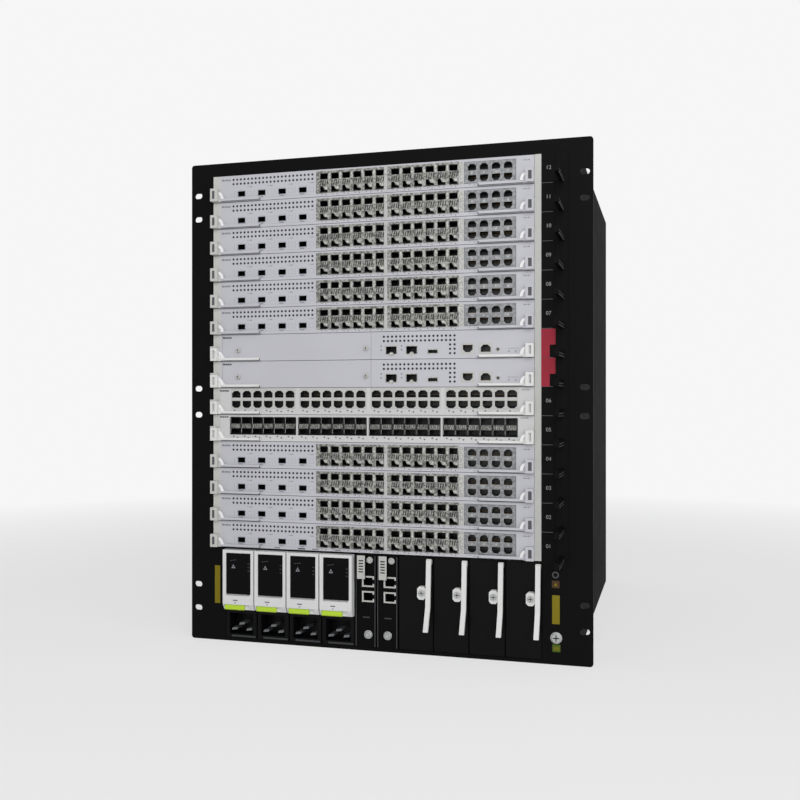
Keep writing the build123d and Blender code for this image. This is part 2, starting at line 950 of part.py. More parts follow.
# Rear panel with the mouths of the two fan trays and a shelf under each
tray_half = inner - tray_inset
fan_radius = tray_half / 2 - fan_margin
tray_height = 2 * (fan_radius + fan_margin)
tray_floors = (
    (plate_height - tray_gap) / 2 - tray_height,
    (plate_height + tray_gap) / 2,
)
with BuildPart() as rear_panel:
    with BuildSketch(facing(rear - sheet)):
        with Locations((0, plate_height / 2)):
            Rectangle(2 * inner, plate_height - 2 * sheet)
        windows(
            [(0, floor + tray_height / 2) for floor in tray_floors],
            2 * (tray_half + tray_opening_gap),
            tray_height + 2 * tray_opening_gap,
            mode=Mode.SUBTRACT,
        )
    extrude(amount=-sheet)
    for floor in tray_floors:
        block(
            -inner,
            inner,
            rear - tray_depth,
            rear,
            floor - tray_opening_gap - sheet,
            floor - tray_opening_gap,
        )
save(rear_panel.part, "rear_panel")

# Fan tray, its floor at 0: a box open to the front, with a slotted guard and motor for each fan
fan_xs = (-tray_half / 2, tray_half / 2)
fan_z = tray_height / 2
guard_back = rear - tray_wall
motor_front = guard_back - motor_length
with BuildPart() as fan_tray:
    block(-tray_half, tray_half, rear - tray_depth, rear, 0, tray_height)
    block(
        -tray_half + tray_wall,
        tray_half - tray_wall,
        rear - tray_depth,
        guard_back,
        tray_wall,
        tray_height - tray_wall,
        mode=Mode.SUBTRACT,
    )
    with BuildSketch(facing(rear)):
        slot_step = 2 * fan_radius / grille_bars
        for x in fan_xs:
            for n in range(grille_bars):
                offset = (n - (grille_bars - 1) / 2) * slot_step
                half = sqrt(fan_radius**2 - offset**2)
                windows([(x, fan_z + offset)], 2 * half, grille_slot)
    extrude(amount=tray_wall, mode=Mode.SUBTRACT)
    with BuildSketch(facing(guard_back)):
        for x in fan_xs:
            with Locations((x, fan_z)):
                RegularPolygon(motor_radius, round_sides)
    extrude(amount=motor_length)
    with BuildSketch(facing(motor_front)):
        for x in fan_xs:
            with Locations((x, fan_z)):
                RegularPolygon(shaft_radius + pin_gap, pin_sides, major_radius=False)
    extrude(amount=-(shaft_length + pin_gap), mode=Mode.SUBTRACT)
    with BuildSketch(Plane.YZ.offset(-handle_bar / 2)):
        with Locations((rear + handle_proud / 2, fan_z)):
            Rectangle(handle_proud, handle_width)
        with Locations((rear + (handle_proud - handle_bar) / 2, fan_z)):
            Rectangle(handle_proud - handle_bar, handle_width - 2 * handle_bar, mode=Mode.SUBTRACT)
    extrude(amount=handle_bar)

# Fan rotor on its shaft, about the middle of the motor
hub_back = motor_front - pin_gap
hub_front = hub_back - fan_hub_depth
blade_reach = fan_radius - fan_tip_gap - fan_hub + blade_root
with BuildPart() as fan_rotor:
    with BuildSketch(facing(hub_back)):
        RegularPolygon(fan_hub, hub_sides)
    extrude(amount=fan_hub_depth)
    with BuildSketch(facing(hub_back)):
        RegularPolygon(shaft_radius, pin_sides)
    extrude(amount=-shaft_length)
    with Locations(Plane.XZ.offset(-(hub_back + hub_front) / 2)):
        with PolarLocations(fan_hub - blade_root + blade_reach / 2, fan_blades):
            Box(
                blade_reach,
                fan_chord,
                fan_blade_thick,
                rotation=(fan_blade_pitch, 0, 0),
            )

fan_number = 0
for name, floor in zip(("fan_tray_lower", "fan_tray_upper"), tray_floors):
    with BuildPart() as placed_tray:
        with Locations((0, 0, floor)):
            add(fan_tray.part)
    save(placed_tray.part, name)
    for x in fan_xs:
        fan_number += 1
        with BuildPart() as placed_rotor:
            with Locations((x, 0, floor + fan_z)):
                add(fan_rotor.part)
        save(placed_rotor.part, f"fan_rotor_{fan_number}")
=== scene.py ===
# %% [markdown]
# # A modular chassis switch
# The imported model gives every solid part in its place. This script adds what the solids leave out:
# port cages, vent holes, screws, labels and finishes. Everything is in the same frame, in metres,
# with X to the right, Y to the back and Z up.

import math

import bmesh
import bpy
from mathutils import Matrix, Vector
from mathutils.geometry import tessellate_polygon


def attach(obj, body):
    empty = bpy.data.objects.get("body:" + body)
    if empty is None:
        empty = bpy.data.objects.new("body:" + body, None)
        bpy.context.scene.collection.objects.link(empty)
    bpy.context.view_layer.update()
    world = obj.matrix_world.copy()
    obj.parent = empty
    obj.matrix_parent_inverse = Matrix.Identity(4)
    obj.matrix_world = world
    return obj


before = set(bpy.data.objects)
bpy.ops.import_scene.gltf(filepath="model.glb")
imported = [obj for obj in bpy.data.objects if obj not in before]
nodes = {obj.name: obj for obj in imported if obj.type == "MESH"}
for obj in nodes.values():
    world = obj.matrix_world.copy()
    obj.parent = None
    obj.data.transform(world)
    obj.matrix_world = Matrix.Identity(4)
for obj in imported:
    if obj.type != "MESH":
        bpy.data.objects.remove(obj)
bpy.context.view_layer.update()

# %% [markdown]
# Sizes are in millimetres, as on a drawing, and become metres when a mesh is made. Heights on a card
# are measured from the floor of its slot, and places along it from the plate's left edge.

# %% Sizes of the chassis
MM = 0.001
FRONT, REAR = -260.0, 260.0
PLATE_HALF = 241.3
PLATE_TOP = 577.0
CAGE_BOTTOM, SLOT_PITCH = 112.9, 32.04
CARD_LEFT, CARD_RIGHT = -212.2, 177.4
SHEET_FRONT, SHEET_BACK = FRONT - 0.45, FRONT - 0.16
POCKET_FRONT, POCKET_BACK = FRONT - 0.15, FRONT - 0.02
PRINT_FRONT = FRONT - 0.08
SLOT_ORDER = (1, 2, 3, 4, 5, 6, 14, 13, 7, 8, 9, 10, 11, 12)
LINE_CARDS = (1, 2, 3, 4, 7, 8, 9, 10, 11, 12)


def floor_of(slot):
    return CAGE_BOTTOM + SLOT_ORDER.index(slot) * SLOT_PITCH


def across(u):
    """X of a place measured from the left edge of the plate."""
    return u - PLATE_HALF


def below(t):
    """Height above the slot's floor of a place measured down from the card's top edge."""
    return 31.77 - t


print("slots", len(SLOT_ORDER), "line cards", len(LINE_CARDS))

# %% [markdown]
# Shader maths reads best as plain expressions, so one small class wraps a socket and overloads the
# operators. Masks are then sums and products of such values.


# %% Shader values
class Value:
    def __init__(self, paint, socket):
        self.paint, self.socket = paint, socket

    def _math(self, operation, a, b):
        return self.paint.node("ShaderNodeMath", {"operation": operation}, {0: a, 1: b})

    def __add__(self, other):
        return self._math("ADD", self, other)

    def __radd__(self, other):
        return self._math("ADD", other, self)

    def __sub__(self, other):
        return self._math("SUBTRACT", self, other)

    def __rsub__(self, other):
        return self._math("SUBTRACT", other, self)

    def __mul__(self, other):
        return self._math("MULTIPLY", self, other)

    def __rmul__(self, other):
        return self._math("MULTIPLY", other, self)

    def __gt__(self, other):
        return self._math("GREATER_THAN", self, other)

    def __lt__(self, other):
        return self._math("LESS_THAN", self, other)

    def __mod__(self, other):
        return self._math("FLOORED_MODULO", self, other)


class Shader:
    """A node tree whose nodes are made by one method."""

    def __init__(self, tree):
        self.tree = tree

    def node(self, kind, settings, inputs, output=0):
        made = self.tree.nodes.new(kind)
        for key, value in settings.items():
            setattr(made, key, value)
        for key, value in inputs.items():
            if isinstance(value, Value):
                self.tree.links.new(value.socket, made.inputs[key])
            else:
                made.inputs[key].default_value = value
        return made if output is None else Value(self, made.outputs[output])

    def mix(self, factor, a, b):
        return self.node("ShaderNodeMix", {"data_type": "RGBA"}, {"Factor": factor, 6: a, 7: b}, 2)

    def seen(self):
        """One for rays from the camera, from mirrors and through glass, and zero for the rest."""
        rays = self.node("ShaderNodeLightPath", {}, {}, None).outputs
        camera = Value(self, rays["Is Camera Ray"])
        glossy = Value(self, rays["Is Glossy Ray"])
        clear = Value(self, rays["Is Transmission Ray"])
        return 1 - (1 - camera) * (1 - glossy) * (1 - clear)


class Paint(Shader):
    """A material: a plain colour at first, then grain, patches and masks."""

    def __init__(self, name, colour, roughness, metallic=0.0, coat=0.0, specular=0.5):
        self.material = bpy.data.materials.new(name)
        self.material.use_nodes = True
        super().__init__(self.material.node_tree)
        self.shader = self.tree.nodes["Principled BSDF"]
        self.colour = (*colour, 1.0)
        self.shader.inputs["Base Color"].default_value = self.colour
        self.shader.inputs["Roughness"].default_value = roughness
        self.shader.inputs["Metallic"].default_value = metallic
        self.shader.inputs["Coat Weight"].default_value = coat
        self.shader.inputs["Specular IOR Level"].default_value = specular
        self.place = self.node("ShaderNodeTexCoord", {}, {}, "Object")
        axes = self.node("ShaderNodeSeparateXYZ", {}, {0: self.place}, None)
        self.x, self.y, self.z = (Value(self, axes.outputs[n]) for n in range(3))

    def noise(self, scale, detail=3.0):
        inputs = {"Vector": self.place, "Scale": scale, "Detail": detail}
        return self.node("ShaderNodeTexNoise", {}, inputs, 0)

    def between(self, value, low, high):
        return (value > low) * (value < high)

    def to(self, socket, value):
        self.tree.links.new(value.socket, self.shader.inputs[socket])

    def grain(self, scale, strength, spread=0.12, tone=0.06):
        """Fine surface grain: a bump, a varying roughness and a faint change of tone."""
        fine = self.noise(scale)
        broad = self.noise(scale / 40, 2.0)
        bump = self.node(
            "ShaderNodeBump", {}, {"Strength": strength, "Distance": 0.0002, "Height": fine}
        )
        self.to("Normal", bump)
        rough = self.shader.inputs["Roughness"].default_value
        self.to("Roughness", rough - spread / 2 + broad * spread)
        darker = tuple(c * (1 - tone) for c in self.colour[:3]) + (1.0,)
        lighter = tuple(min(1.0, c * (1 + tone)) for c in self.colour[:3]) + (1.0,)
        self.tone = self.mix(broad, darker, lighter)
        self.to("Base Color", self.tone)
        return self

    def mottle(self, scale, low, high):
        """Patches of two tones, as on stamped sheet with many small spring fingers."""
        patches = self.noise(scale, 4.0)
        sharp = self.node("ShaderNodeMapRange", {}, {"Value": patches, "From Min": 0.4, "From Max": 0.62})
        self.to("Base Color", self.mix(sharp, (*low, 1.0), (*high, 1.0)))
        return self


def grey(level):
    """Linear value of a display grey from 0 to 255."""
    c = level / 255
    return c / 12.92 if c <= 0.04045 else ((c + 0.055) / 1.055) ** 2.4


def rgb(r, g, b):
    return (grey(r), grey(g), grey(b))


print("shader helpers ready")

# %% [markdown]
# The chassis is powder coated in near-black, with the fine orange peel of such paint. Its gloss is
# set far below that of real paint, because the blacks have to stay dark in a white room. The cards
# are a pale satin paint with a lilac cast. Mouldings, cages and contacts get their own finishes.

# %% Finishes
plate_black = Paint("plate_black", rgb(14, 14, 14), 0.5, specular=0.04).grain(900, 0.25)
body_black = Paint("body_black", rgb(16, 16, 17), 0.6, specular=0.008).grain(900, 0.3)
bay_black = Paint("bay_black", rgb(12, 12, 12), 0.5, specular=0.04).grain(900, 0.2)
# Painted highlight for the edges of the black cable comb fingers.
comb_highlight = Paint("comb_highlight", rgb(104, 104, 105), 0.4, specular=0.3).grain(900, 0.1)
rail_grey = Paint("rail_grey", rgb(58, 60, 62), 0.4, 0.3, specular=0.3).grain(500, 0.1)
inside_steel = Paint("inside_steel", rgb(112, 114, 116), 0.45, 0.7).grain(300, 0.15)
bright_steel = Paint("bright_steel", rgb(180, 182, 181), 0.35, 0.6).grain(400, 0.1)
cage_metal = Paint("cage_metal", rgb(150, 150, 144), 0.45, 0.3).grain(500, 0.35, 0.25)
cage_metal.mottle(420, rgb(90, 90, 86), rgb(164, 164, 158))
cage_edge = Paint("cage_edge", rgb(184, 184, 178), 0.4, 0.2).grain(500, 0.2)
cage_edge.mottle(600, rgb(150, 150, 144), rgb(200, 200, 194))
shield_metal = Paint("shield_metal", rgb(160, 161, 163), 0.4, 0.35).grain(500, 0.2)
shield_metal.mottle(300, rgb(116, 117, 119), rgb(148, 149, 151))
# Black of the optical card's cages, and painted shade: the walls of openings, the dividers inside cages and
# housings, and the strips beside spring fingers.
dark_cage_and_shade = Paint("dark_cage_and_shade", rgb(24, 25, 25), 0.5, 0.2, specular=0.2).grain(500, 0.3)
woven_cage = Paint("woven_cage", rgb(98, 99, 97), 0.5, 0.4).grain(1500, 0.8, 0.3)
woven_cage.mottle(900, rgb(32, 33, 32), rgb(122, 123, 120))
# Painted shade: near-black liners, walls and discs for the shade inside openings, slots and holes.
opening_shade = Paint("opening_shade", rgb(9, 9, 10), 0.7, specular=0.1).grain(400, 0.1)
# Painted shade for the mouths of vent holes.
vent_shade = Paint("vent_shade", rgb(58, 58, 63), 0.7, specular=0.1).grain(400, 0.1)
contact_gold = Paint("contact_gold", rgb(150, 116, 52), 0.35, 0.8).grain(600, 0.1)
lever_white = Paint("lever_white", rgb(218, 218, 216), 0.38).grain(600, 0.1)
# Painted highlight: a lighter copy of the lever white, for the light on a lever's curved web.
lever_highlight = Paint("lever_highlight", rgb(236, 236, 236), 0.3).grain(600, 0.08)
strip_white = Paint("strip_white", rgb(184, 184, 180), 0.42).grain(600, 0.1)
window_black = Paint("window_black", rgb(10, 10, 10), 0.2, specular=0.06).grain(500, 0.05)
latch_lime = Paint("latch_lime", rgb(180, 212, 44), 0.35).grain(600, 0.1)
board_green = Paint("board_green", rgb(24, 74, 44), 0.45).grain(200, 0.3, 0.2, 0.2)
chip_black = Paint("chip_black", rgb(30, 30, 32), 0.5).grain(700, 0.1)
fan_black = Paint("fan_black", rgb(22, 22, 23), 0.5, specular=0.3).grain(500, 0.2)
button_grey = Paint("button_grey", rgb(66, 67, 70), 0.5).grain(500, 0.1)
jack_grey = Paint("jack_grey", rgb(74, 75, 76), 0.4, 0.4).grain(500, 0.1)
mark_grey = Paint("mark_grey", rgb(128, 129, 136), 0.6).grain(400, 0.05)
# Dark print, and painted shade: the eye slot of a lever, the line under a lever arm and its end tick.
dark_marks_and_shade = Paint("dark_marks_and_shade", rgb(72, 72, 78), 0.6).grain(400, 0.05)
mark_faint = Paint("mark_faint", rgb(164, 165, 172), 0.6).grain(400, 0.05)
number_grey = Paint("number_grey", rgb(138, 138, 138), 0.6).grain(400, 0.05)
label_red = Paint("label_red", rgb(150, 40, 56), 0.5, specular=0.15).grain(400, 0.08)
label_olive = Paint("label_olive", rgb(122, 110, 22), 0.55, specular=0.15).grain(400, 0.08)
label_orange = Paint("label_orange", rgb(70, 50, 30), 0.55, specular=0.15).grain(400, 0.08)
label_green = Paint("label_green", rgb(72, 92, 26), 0.55, specular=0.15).grain(400, 0.08)
print("finishes", len(bpy.data.materials))

# %% [markdown]
# Thin sheet parts with openings, such as the flange of a port cage, are drawn as an outline with
# holes and given a thickness. A small mesh collector keeps the faces of each body together, with a
# material number for each face, so that one body needs only one object for each kind of fitting.


# %% Mesh collector
class Fittings:
    def __init__(self):
        self.points, self.faces, self.finish, self.paints = [], [], [], []

    def _paint(self, paint):
        if paint not in self.paints:
            self.paints.append(paint)
        return self.paints.index(paint)

    def face(self, corners, paint):
        start = len(self.points)
        self.points += corners
        self.faces.append(tuple(range(start, start + len(corners))))
        self.finish.append(self._paint(paint))

    def plate(self, outline, y0, y1, paint, holes=(), inside=None):
        """A flat part from outline points (x, z), its front at y0, with holes cut through it."""
        loops = [[Vector((x, z, 0)) for x, z in loop] for loop in (outline, *holes)]
        flat = [p for loop in loops for p in loop]
        for a, b, c in tessellate_polygon(loops):
            p, q, r = flat[a], flat[b], flat[c]
            if (q - p).cross(r - p).z < 0:
                q, r = r, q
            if (q - p).cross(r - p).length < 1e-9:
                continue
            self.face([(v.x, y0, v.y) for v in (p, q, r)], paint)
            self.face([(v.x, y1, v.y) for v in (p, r, q)], paint)
        for k, loop in enumerate(loops):
            turn = sum(a.x * b.y - b.x * a.y for a, b in zip(loop, loop[1:] + loop[:1]))
            ring = loop if (turn > 0) == (k == 0) else loop[::-1]
            wall = paint if k == 0 or inside is None else inside
            for a, b in zip(ring, ring[1:] + ring[:1]):
                self.face([(a.x, y0, a.y), (a.x, y1, a.y), (b.x, y1, b.y), (b.x, y0, b.y)], wall)

    def slab(self, x0, x1, y0, y1, z0, z1, paint, edge=0.0):
        """A block, with its front edges eased where an edge is given."""
        if edge:
            self.eased([(x0, z0), (x1, z0), (x1, z1), (x0, z1)], y0, y1, edge, paint)
        else:
            self.plate([(x0, z0), (x1, z0), (x1, z1), (x0, z1)], y0, y1, paint)

    def eased(self, outline, y0, y1, edge, paint):
        """A convex flat part whose front edge is eased by a small bevel."""
        cx = sum(p[0] for p in outline) / len(outline)
        cz = sum(p[1] for p in outline) / len(outline)
        half = max(max(abs(x - cx), abs(z - cz)) for x, z in outline)
        small = [(cx + (x - cx) * (1 - edge / half), cz + (z - cz) * (1 - edge / half)) for x, z in outline]
        rings = [(small, y0), (outline, y0 + edge), (outline, y1)]
        for (a, ya), (b, yb) in zip(rings, rings[1:]):
            for n in range(len(outline)):
                m = (n + 1) % len(outline)
                corners = [(a[n], ya), (b[n], yb), (b[m], yb), (a[m], ya)]
                self.face([(x, y, z) for (x, z), y in corners], paint)
        self.face([(x, y0, z) for x, z in small], paint)
        self.face([(x, y1, z) for x, z in outline][::-1], paint)

    def object(self, name, turned=None):
        mesh = bpy.data.meshes.new(name)
        mesh.from_pydata([tuple(c * MM for c in p) for p in self.points], [], self.faces)
        for paint in self.paints:
            mesh.materials.append(paint.material)
        mesh.polygons.foreach_set("material_index", self.finish)
        work = bmesh.new()
        work.from_mesh(mesh)
        bmesh.ops.remove_doubles(work, verts=work.verts, dist=1e-6)
        work.to_mesh(mesh)
        work.free()
        if turned is not None:
            mesh.transform(turned)
        mesh.update()
        made = bpy.data.objects.new(name, mesh)
        bpy.context.scene.collection.objects.link(made)
        return made


def circle(x, z, radius, sides, turn=0.0):
    return [
        (
            x + radius * math.cos(turn + 2 * math.pi * n / sides),
            z + radius * math.sin(turn + 2 * math.pi * n / sides),
        )
        for n in range(sides)
    ]


def box(x0, x1, z0, z1):
    return [(x0, z0), (x1, z0), (x1, z1), (x0, z1)]


print("mesh collector ready")

# %% [markdown]
# Vent holes, contacts, spring fingers, chips and marks repeat on a grid. One Geometry Nodes tree
# stands a prototype at every point of a grid, and the result becomes a plain mesh of its card.


# %% Grid of copies
def grid_tree():
    tree = bpy.data.node_groups.new("copies_on_a_grid", "GeometryNodeTree")
    face = tree.interface
    face.new_socket("Geometry", in_out="OUTPUT", socket_type="NodeSocketGeometry")
    face.new_socket("Prototype", in_out="INPUT", socket_type="NodeSocketObject")
    numbers = (("Columns", "Int"), ("Rows", "Int"), ("Column Pitch", "Float"), ("Row Step", "Vector"))
    for name, kind in numbers:
        face.new_socket(name, in_out="INPUT", socket_type="NodeSocket" + kind)
    face.new_socket("Start", in_out="INPUT", socket_type="NodeSocketVector")
    face.new_socket("Finish", in_out="INPUT", socket_type="NodeSocketMaterial")
    add, link = tree.nodes.new, tree.links.new
    given, out = add("NodeGroupInput"), add("NodeGroupOutput")
    row, column = add("GeometryNodeMeshLine"), add("GeometryNodeMeshLine")
    step_x = add("ShaderNodeCombineXYZ")
    link(given.outputs["Column Pitch"], step_x.inputs["X"])
    link(given.outputs["Columns"], row.inputs["Count"])
    link(given.outputs["Start"], row.inputs["Start Location"])
    link(step_x.outputs[0], row.inputs["Offset"])
    link(given.outputs["Rows"], column.inputs["Count"])
    link(given.outputs["Row Step"], column.inputs["Offset"])
    spread, place = add("GeometryNodeInstanceOnPoints"), add("GeometryNodeInstanceOnPoints")
    link(row.outputs[0], spread.inputs["Points"])
    link(column.outputs[0], spread.inputs["Instance"])
    points = add("GeometryNodeRealizeInstances")
    link(spread.outputs[0], points.inputs[0])
    source = add("GeometryNodeObjectInfo")
    link(given.outputs["Prototype"], source.inputs["Object"])
    link(points.outputs[0], place.inputs["Points"])
    link(source.outputs["Geometry"], place.inputs["Instance"])
    real, finish = add("GeometryNodeRealizeInstances"), add("GeometryNodeSetMaterial")
    link(place.outputs[0], real.inputs[0])
    link(real.outputs[0], finish.inputs["Geometry"])
    link(given.outputs["Finish"], finish.inputs["Material"])
    link(finish.outputs[0], out.inputs[0])
    return tree


GRID = grid_tree()
SOCKETS = {s.name: s.identifier for s in GRID.interface.items_tree if s.in_out == "INPUT"}


def copies(prototype, paint, columns, rows, pitch_x, row_step, start):
    """Stands a prototype on every point of a grid and returns the plain mesh as an object."""
    holder = bpy.data.objects.new("grid", bpy.data.meshes.new("grid"))
    bpy.context.scene.collection.objects.link(holder)
    nodes_modifier = holder.modifiers.new("grid", "NODES")
    nodes_modifier.node_group = GRID
    values = {
        "Prototype": prototype,
        "Columns": columns,
        "Rows": rows,
        "Column Pitch": pitch_x * MM,
        "Row Step": tuple(c * MM for c in row_step),
        "Start": tuple(c * MM for c in start),
        "Finish": paint.material,
    }
    for name, value in values.items():
        nodes_modifier[SOCKETS[name]] = value
    bpy.context.view_layer.update()
    done = bpy.data.meshes.new_from_object(holder.evaluated_get(bpy.context.evaluated_depsgraph_get()))
    bpy.data.objects.remove(holder)
    made = bpy.data.objects.new("copies", done)
    bpy.context.scene.collection.objects.link(made)
    return made


def prototype(fill):
    """A hidden object that holds what a function puts into a collector."""
    parts = Fittings()
    fill(parts)
    made = parts.object("prototype")
    made.hide_render = True
    return made


print("grid inputs", list(SOCKETS))

# %% [markdown]
# Pieces that ride on one body are joined into one object, shifted up to their slot, and given a name
# that says what they are.


# %% Joining and riding
def join(parts, name, body, lift=0.0):
    work = bmesh.new()
    paints = []
    for part in parts:
        numbers = []
        for material in part.data.materials:
            if material not in paints:
                paints.append(material)
            numbers.append(paints.index(material))
        before = len(work.faces)
        work.from_mesh(part.data)
        work.faces.ensure_lookup_table()
        for face in work.faces[before:]:
            face.material_index = numbers[face.material_index]
    bmesh.ops.translate(work, verts=work.verts, vec=(0, 0, lift * MM))
    mesh = bpy.data.meshes.new(name)
    work.to_mesh(mesh)
    work.free()
    for material in paints:
        mesh.materials.append(material)
    made = bpy.data.objects.new(name, mesh)
    bpy.context.scene.collection.objects.link(made)
    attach(made, body)
    return made


def drop(*objects):
    for o in objects:
        bpy.data.objects.remove(o)


print("joining ready")

# %% [markdown]
# A vent hole is a round hole punched through the card's panel. At this size only its dark mouth shows, so
# each copy is a thin disc of painted shade let into the face of the panel, standing for the shade inside
# the hole.


# %% Vent holes of a line card
VENT_RADIUS = 1.4
VENT_COLUMNS, VENT_ROWS = 22, 2
VENT_PITCH, VENT_STEP = 4.84, (0, 0, 5.2)


def vent(parts):
    parts.plate(circle(0, 0, VENT_RADIUS, 10), FRONT - 0.06, FRONT + 0.1, vent_shade)


vent_shape = prototype(vent)
vent_start = (across(55.6), 0, below(10.1))
line_vents = copies(vent_shape, vent_shade, VENT_COLUMNS, VENT_ROWS, VENT_PITCH, VENT_STEP, vent_start)
print("vent holes", VENT_COLUMNS * VENT_ROWS)

# %% [markdown]
# The optical cages of a line card share one stamped front sheet for each group of six columns. A column has
# an upper and a lower opening, and the lower one has the sloped tab of its spring latch at the upper right.
# The band between the rows is covered with small slanted spring fingers, each with a painted shadow beside
# it.


# %% Optical cages of a line card
OPTICAL_PITCH, OPTICAL_GROUP, OPTICAL_HALF = 13.7, 87.0, 4.8
OPTICAL_FIRST = CARD_LEFT + 142.7
SPRING_PITCH = 2.7


def optical_group(parts, first, left, right):
    upper = (below(11.7), below(4.6))
    lower = (below(27.2), below(19.8))
    pocket = (below(25.5), below(5.6))
    centres = [first + n * OPTICAL_PITCH for n in range(6)]
    holes = []
    for x in centres:
        l, r = x - OPTICAL_HALF, x + OPTICAL_HALF
        holes.append(box(l, r, *upper))
        tab_edge = [(r, lower[0] + 2.6), (x + 0.6, lower[0] + 3.4), (x - 1.4, lower[1])]
        holes.append([(l, lower[0]), (r, lower[0]), *tab_edge, (l, lower[1])])
    sheet = box(left, right, below(28), below(2))
    # The walls of the openings carry painted shade.
    parts.plate(sheet, SHEET_FRONT, SHEET_BACK, cage_metal, holes, dark_cage_and_shade)
    # Painted shade: liners where the openings reach past the pockets, and a dark divider inside the cage
    # between the rows.
    for x in centres:
        l, r = x - OPTICAL_HALF, x + OPTICAL_HALF
        parts.slab(l, r, POCKET_FRONT, POCKET_BACK, pocket[1], upper[1], opening_shade)
        parts.slab(l, r, POCKET_FRONT, POCKET_BACK, lower[0], pocket[0], opening_shade)
        parts.slab(l, r, FRONT - 0.1, FRONT + 20, lower[1], upper[0], dark_cage_and_shade)
        tab_foot = [(x + 1.5, lower[0] + 3.9), (r - 0.4, lower[0] + 3.4)]
        tab_head = [(r - 0.4, lower[1] - 0.9), (x - 0.2, lower[1] - 0.9)]
        parts.plate(tab_foot + tab_head, FRONT - 0.8, SHEET_FRONT, cage_edge)
        parts.slab(r + 0.9, r + 3.2, FRONT - 0.6, FRONT - 0.45, upper[0], upper[1], cage_edge)


def springs(parts):
    """Four slanted spring fingers of one column, from the middle of the column."""
    for k in range(4):
        x = -5.6 + k * SPRING_PITCH
        finger = [(x, -2.9), (x + 0.8, -2.9), (x + 1.8, 2.9), (x + 1.0, 2.9)]
        parts.plate(finger, FRONT - 0.75, SHEET_FRONT, cage_metal)


def spring_shadows(parts):
    """Painted shadows: a dark strip beside each spring finger of one column."""
    for k in range(4):
        x = -4.7 + k * SPRING_PITCH
        shadow_strip = [(x, -2.9), (x + 0.9, -2.9), (x + 1.9, 2.9), (x + 1.0, 2.9)]
        parts.plate(shadow_strip, FRONT - 0.55, SHEET_FRONT, dark_cage_and_shade)


optical_parts = Fittings()
optical_group(optical_parts, OPTICAL_FIRST, across(162), across(245.4))
optical_group(optical_parts, OPTICAL_FIRST + OPTICAL_GROUP, across(249.5), across(333.7))
spring_shape, spring_shadow_shape = prototype(springs), prototype(spring_shadows)
optical = [optical_parts.object("optical")]
for group in range(2):
    start = (OPTICAL_FIRST + group * OPTICAL_GROUP, 0, below(15.75))
    optical.append(copies(spring_shape, cage_metal, 6, 1, OPTICAL_PITCH, (0, 0, 1), start))
    # Painted shadows beside the spring fingers.
    optical.append(copies(spring_shadow_shape, dark_cage_and_shade, 6, 1, OPTICAL_PITCH, (0, 0, 1), start))
print("optical openings", 24)

# %% [markdown]
# The copper block is a shielded housing with a thin dark outline. Each jack is house-shaped, its
# latch side up in the upper row and down in the lower one, with gold contacts deep inside.


# %% Copper block of a line card
def jack_outline(x, low, high, up, half=4.8, step=2.8, neck=2.3):
    if up:
        roof = [(x + half, high - step), (x + neck, high), (x - neck, high), (x - half, high - step)]
        return [(x - half, low), (x + half, low), *roof]
    sides = [(x + half, low + step), (x + half, high), (x - half, high), (x - half, low + step)]
    return [(x - neck, low), (x + neck, low), *sides]


def contacts(parts):
    """Eight contact wires of one jack, from the middle of the jack."""
    for n in range(8):
        x = (n - 3.5) * 1.0
        parts.slab(x - 0.16, x + 0.16, FRONT + 7, FRONT + 11, -0.2, 0.2, contact_gold)


contact_shape = prototype(contacts)
COPPER_PITCH = 13.6
copper_parts = Fittings()
copper_centres = [CARD_RIGHT - 29.2 - n * COPPER_PITCH for n in range(4)]
copper_holes = []
for x in copper_centres:
    copper_holes.append(jack_outline(x, below(12.8), below(5.6), True))
    copper_holes.append(jack_outline(x, below(25.4), below(18.2), False))
copper_zone = box(across(340), across(398), below(27), below(3.5))
# The walls of the openings carry painted shade.
copper_parts.plate(copper_zone, SHEET_FRONT, SHEET_BACK, shield_metal, copper_holes, dark_cage_and_shade)
copper_rim = box(across(339.6), across(398.4), below(27.4), below(3.1))
copper_parts.plate(copper_rim, FRONT - 0.3, FRONT - 0.02, dark_marks_and_shade, (copper_zone,))
# Painted shade: liners where the openings reach past the pockets, and a dark divider inside the housing
# between the rows.
for x in copper_centres:
    copper_parts.slab(x - 4.8, x + 4.8, POCKET_FRONT, POCKET_BACK, below(6.6), below(5.5), opening_shade)
    copper_parts.slab(x - 4.8, x + 4.8, POCKET_FRONT, POCKET_BACK, below(25.5), below(24.3), opening_shade)
    copper_parts.slab(x - 4.7, x + 4.7, FRONT - 0.1, FRONT + 11, below(18.2), below(12.8), dark_cage_and_shade)
    copper_parts.slab(x - 0.7, x + 0.7, FRONT - 0.6, FRONT - 0.45, below(16.6), below(14.4), cage_edge)
contact_start = (copper_centres[-1], 0, below(19.0))
copper = [
    copper_parts.object("copper"),
    copies(contact_shape, contact_gold, 4, 2, COPPER_PITCH, (0, 0, 7.1), contact_start),
]
print("copper jacks", len(copper_holes))

# %% [markdown]
# The small sockets at the left have a pressed frame. Beside each one is a printed square, and short
# printed lines stand above it, below it and at its left.


